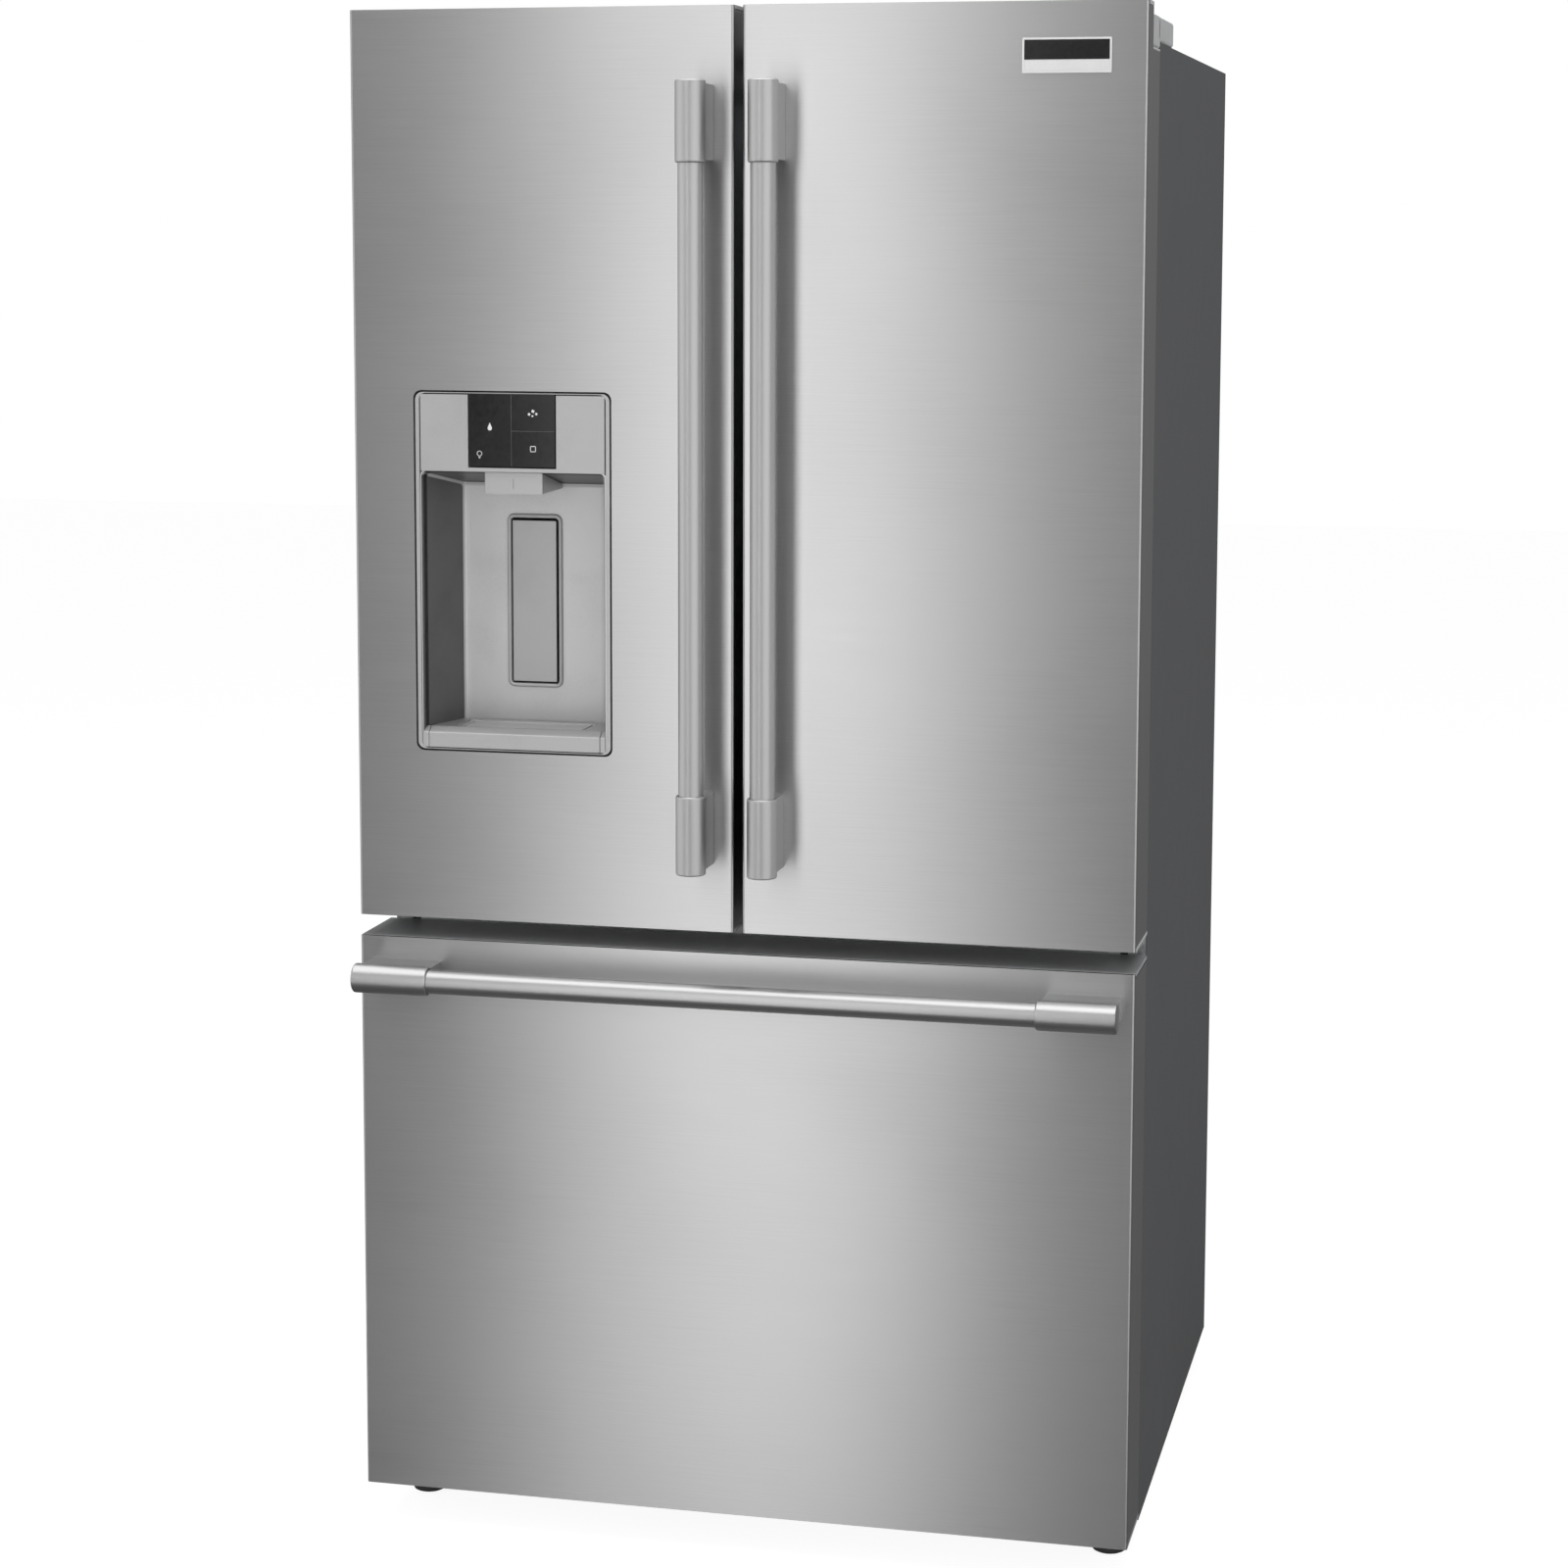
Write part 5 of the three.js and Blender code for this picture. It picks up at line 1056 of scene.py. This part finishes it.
# ---------------------------------------------------------------- inner doors
# Each door has a vacuum-formed white inner pan with a raised dyke that holds the bins, and
# a grey PVC gasket with a magnet in its bulb. The left one bulges behind the dispenser.
# Plasticised PVC: mid grey, soft and matt.
grey_pvc = coated("grey_pvc_gasket", "#8b8d8f", "#97999b", 0.6, 1.5, 0.03)
DYKE_OUTER, DYKE_INNER = 396.0, 54.0
DYKE_REAR = -195.0
DYKE_Z = (784.0, 1678.0)
DYKE_WALL = 24.0
BULGE_REAR = -243.5
BIN_RIBS = range(880, 1600, 86)
PIVOT_LUGS = ((776.3, 784.6), (1677.6, 1685.8))     # they carry the folding mullion's pins


def gasket_ring(form, x0, x1, z0, z1, low, high):
    """A ribbed foot, a narrow neck and the magnet bulb, one behind the other."""
    whole = [(x0, x1), (z0, z1)]
    for inset, start, end in ((0, low, low + 4.5), (2.4, low + 4, high - 6.5), (0.6, high - 7, high)):
        ring(form, grown(whole, -inset), grown(whole, inset - 16), 5, "y", start, end, 1.2)


for side, name in ((-1, "left"), (1, "right")):
    body = name + "_door"
    x0, x1 = sorted((side * (DOOR_INNER + 1.6), side * (DOOR_OUTER - 1.6)))
    cutters = [notch(side, NOTCH_LINING + 0.3)]
    if side < 0:
        cutters.append(opening(BULGE_REAR - 18))
    pan = carve(made_of((block, (x0, x1), (FRONT_Y + 2, DOOR_REAR), (DOOR_LOW + CAP + 1, DOOR_HIGH - CAP - 1),
                         1.2)), *cutters)
    ring(pan, [sorted((side * DYKE_INNER, side * DYKE_OUTER)), DYKE_Z],
         [sorted((side * (DYKE_INNER + DYKE_WALL), side * (DYKE_OUTER - DYKE_WALL))),
          (DYKE_Z[0] + DYKE_WALL, DYKE_Z[1] - DYKE_WALL)], 26, "y", DOOR_REAR - 2, DYKE_REAR, 7)
    for z in BIN_RIBS:
        for x in (DYKE_INNER + DYKE_WALL, DYKE_OUTER - DYKE_WALL):
            block(pan, about(side * x, 1.6), (DOOR_REAR + 14, DYKE_REAR - 12), (z, z + 9), 1.4)
    if side < 0:
        bulge = carve(made_of((block, (-394, DISP_X1 + 20), (DOOR_REAR - 6, BULGE_REAR), (914, 1368), 12, 5)),
                      opening(BULGE_REAR - 18))
        place("dispenser_bulge", bulge, white_liner, body, "liner")
        for lug in PIVOT_LUGS:
            block(pan, (-54.6, -28.6), (DOOR_REAR - 1, -241.2), lug, 2.5)
    place(name + "_door_pan", pan, white_liner, body, "liner", name + "_door_core")
    (gx0, gy0, gz0), (gx1, gy1, gz1) = span(name + "_door_gasket")
    place(name + "_door_seal", made_of((gasket_ring, gx0, gx1, gz0, gz1, gy0, gy1)), grey_pvc, body, "gasket",
          name + "_door_gasket")

# ---------------------------------------------------------------- door bins
# Injection moulded crystal polystyrene bins hook over ribs on the dyke. Each has a satin band
# and a fine rib under it; the lowest on each door is shallower, to clear the crispers.
BIN_X = (DYKE_INNER + DYKE_WALL + 1.2, DYKE_OUTER - DYKE_WALL - 1.2)
BIN_FRONT = -172.0
SHALLOW_FRONT = -186.0


def door_bin(side, tag, rear, low, high, room_side=BIN_FRONT, stands_for=()):
    """A tub between the dyke's walls, with its band and rib on the side that faces the room."""
    body = ("left" if side < 0 else "right") + "_door"
    xs = sorted((side * BIN_X[0], side * BIN_X[1]))
    place(tag + "_tub", tub(xs, (rear, room_side - 2), (low, high), 2.8, 13), crystal, body, "clear",
          *stands_for)
    band = made_of((block, *grown([xs], -4), (room_side - 4.4, room_side), (high - 23, high - 6), 1.8, 4),
                   (block, *grown([xs], -8), (room_side - 3.6, room_side - 0.6), (low + 14, low + 18), 1.2))
    place(tag + "_band", band, satin_trim, body, "clear")


(_, bin_rear, bin_low), (_, _, bin_high) = span("left_door_bin")
door_bin(-1, "left_upper_bin", bin_rear, bin_low, bin_high, stands_for=("left_door_bin",))
door_bin(-1, "left_middle_bin", bin_rear, 1384, 1462)
door_bin(-1, "left_lower_bin", DOOR_REAR + 1, 812, 902, SHALLOW_FRONT)
(_, bin_rear, bin_low), (_, _, bin_high) = span("right_door_bin")
door_bin(1, "right_second_bin", bin_rear, bin_low, bin_high, stands_for=("right_door_bin",))
door_bin(1, "right_low_bin", DOOR_REAR + 1, 812, 912, SHALLOW_FRONT)
door_bin(1, "right_third_bin", DOOR_REAR + 1, 1226, 1316)
door_bin(1, "right_top_bin", DOOR_REAR + 1, 1440, 1530)

# ---------------------------------------------------------------- folding mullion
# A sprung ABS bar on the left door closes the gap between the doors: a steel strip for the
# gasket magnets on its face, a guide lug on top and a pin at each end.
(x0, y0, z0), (x1, y1, z1) = span("flipper_mullion")
BAR_Z = (792.0, 1670.0)
PIN_AT = (-36, -249)
bar = made_of((block, (x0, x1), (y0, y1), BAR_Z, 3.2, 4), (rod, 2.9, (*PIN_AT, z0), (*PIN_AT, z1)),
              (block, (x0 + 5, x1 - 5), (y0 + 22, y0 + 44), (BAR_Z[1] - 1, BAR_Z[1] + 6), 2.4))
# The bar is black ABS, darkened as painted shade for the dark gap between the closed doors.
place("mullion_bar", bar, black_abs, "mullion", "grey_plastic", "flipper_mullion")
strip = made_of((block, (x0 - 0.5, x0 + 0.6), (y0 + 5, y1 - 5), *grown([BAR_Z], -8), 0.3, 2))
place("mullion_strip", strip, satin_trim, "mullion", "grey_plastic")

# ---------------------------------------------------------------- freezer drawer
# The drawer front carries a white inner panel with a stepped plug and its own gasket. A zinc
# frame on three-part slides holds a deep basket, with a shallow one sliding above it.
pan = made_of((block, (-DOOR_OUTER + 1.6, DOOR_OUTER - 1.6), (FRONT_Y + 2, DOOR_REAR),
               (DRAWER_LOW + CAP + 1, DRAWER_HIGH - CAP - 1), 1.2),
              (block, (-385, 385), (DOOR_REAR - 6, -262.2), (110, 664), 7, 5),
              (ring, [(-352, 352), (142, 632)], [(-340, 340), (154, 620)], 18, "y", -264, -260.4, 1.4))
place("drawer_pan", pan, white_liner, "drawer", "liner", "drawer_core")
(gx0, gy0, gz0), (gx1, gy1, gz1) = span("drawer_gasket")
place("drawer_seal", made_of((gasket_ring, gx0, gx1, gz0, gz1, gy0, gy1)), grey_pvc, "drawer", "gasket",
      "drawer_gasket")
for name in ("drawer_frame", "slide_rail_left", "slide_rail_right", "rail_middle_left", "rail_middle_right"):
    softened(name, zinc_plate, 0.3, False)

# Translucent white polypropylene: milky, with a soft shine.
milky = coated("milky_polypropylene", "#dfe5e8", "#e9eef0", 0.3, 3.0, 0.02, Transmission_Weight=0.35,
               IOR=1.49)
FLANGE = 4.0            # the deep basket hangs by a flange at its rim, the shallow one slides on its feet
for name, body, half, ribs in (("freezer_basket_lower", "drawer", 378.0, 11),
                               ("freezer_basket_upper", "upper_basket", 368.4, 13)):
    (x0, y0, z0), (x1, y1, z1) = span(name)
    brim, flange = (z1 - FLANGE, z1 - FLANGE) if body == "drawer" else (z1, z0)
    basket = tub((-half, half), (y0, y1), (z0, brim), 3, 16)
    for side in (-1, 1):
        block(basket, (side * (half - 2), side * x1), (y0 + 4, y1 - 4), (flange, flange + 3.9), 1.0)
    for i in range(ribs):
        x = -half + 40 + i * (2 * half - 80) / (ribs - 1)
        for ys in ((y0 - 0.9, y0 + 1), (y1 - 1, y1 + 0.9)):
            block(basket, about(x, 2), ys, (z0 + 26, z1 - 34), 0.8)
    place(name + "_tub", basket, milky, body, "clear", name)
    band = made_of((block, about(0, half - 18), (y0 - 1.4, y0 + 0.6), (z1 - 26, z1 - 12), 0.9))
    place(name + "_band", band, satin_trim, body, "clear")
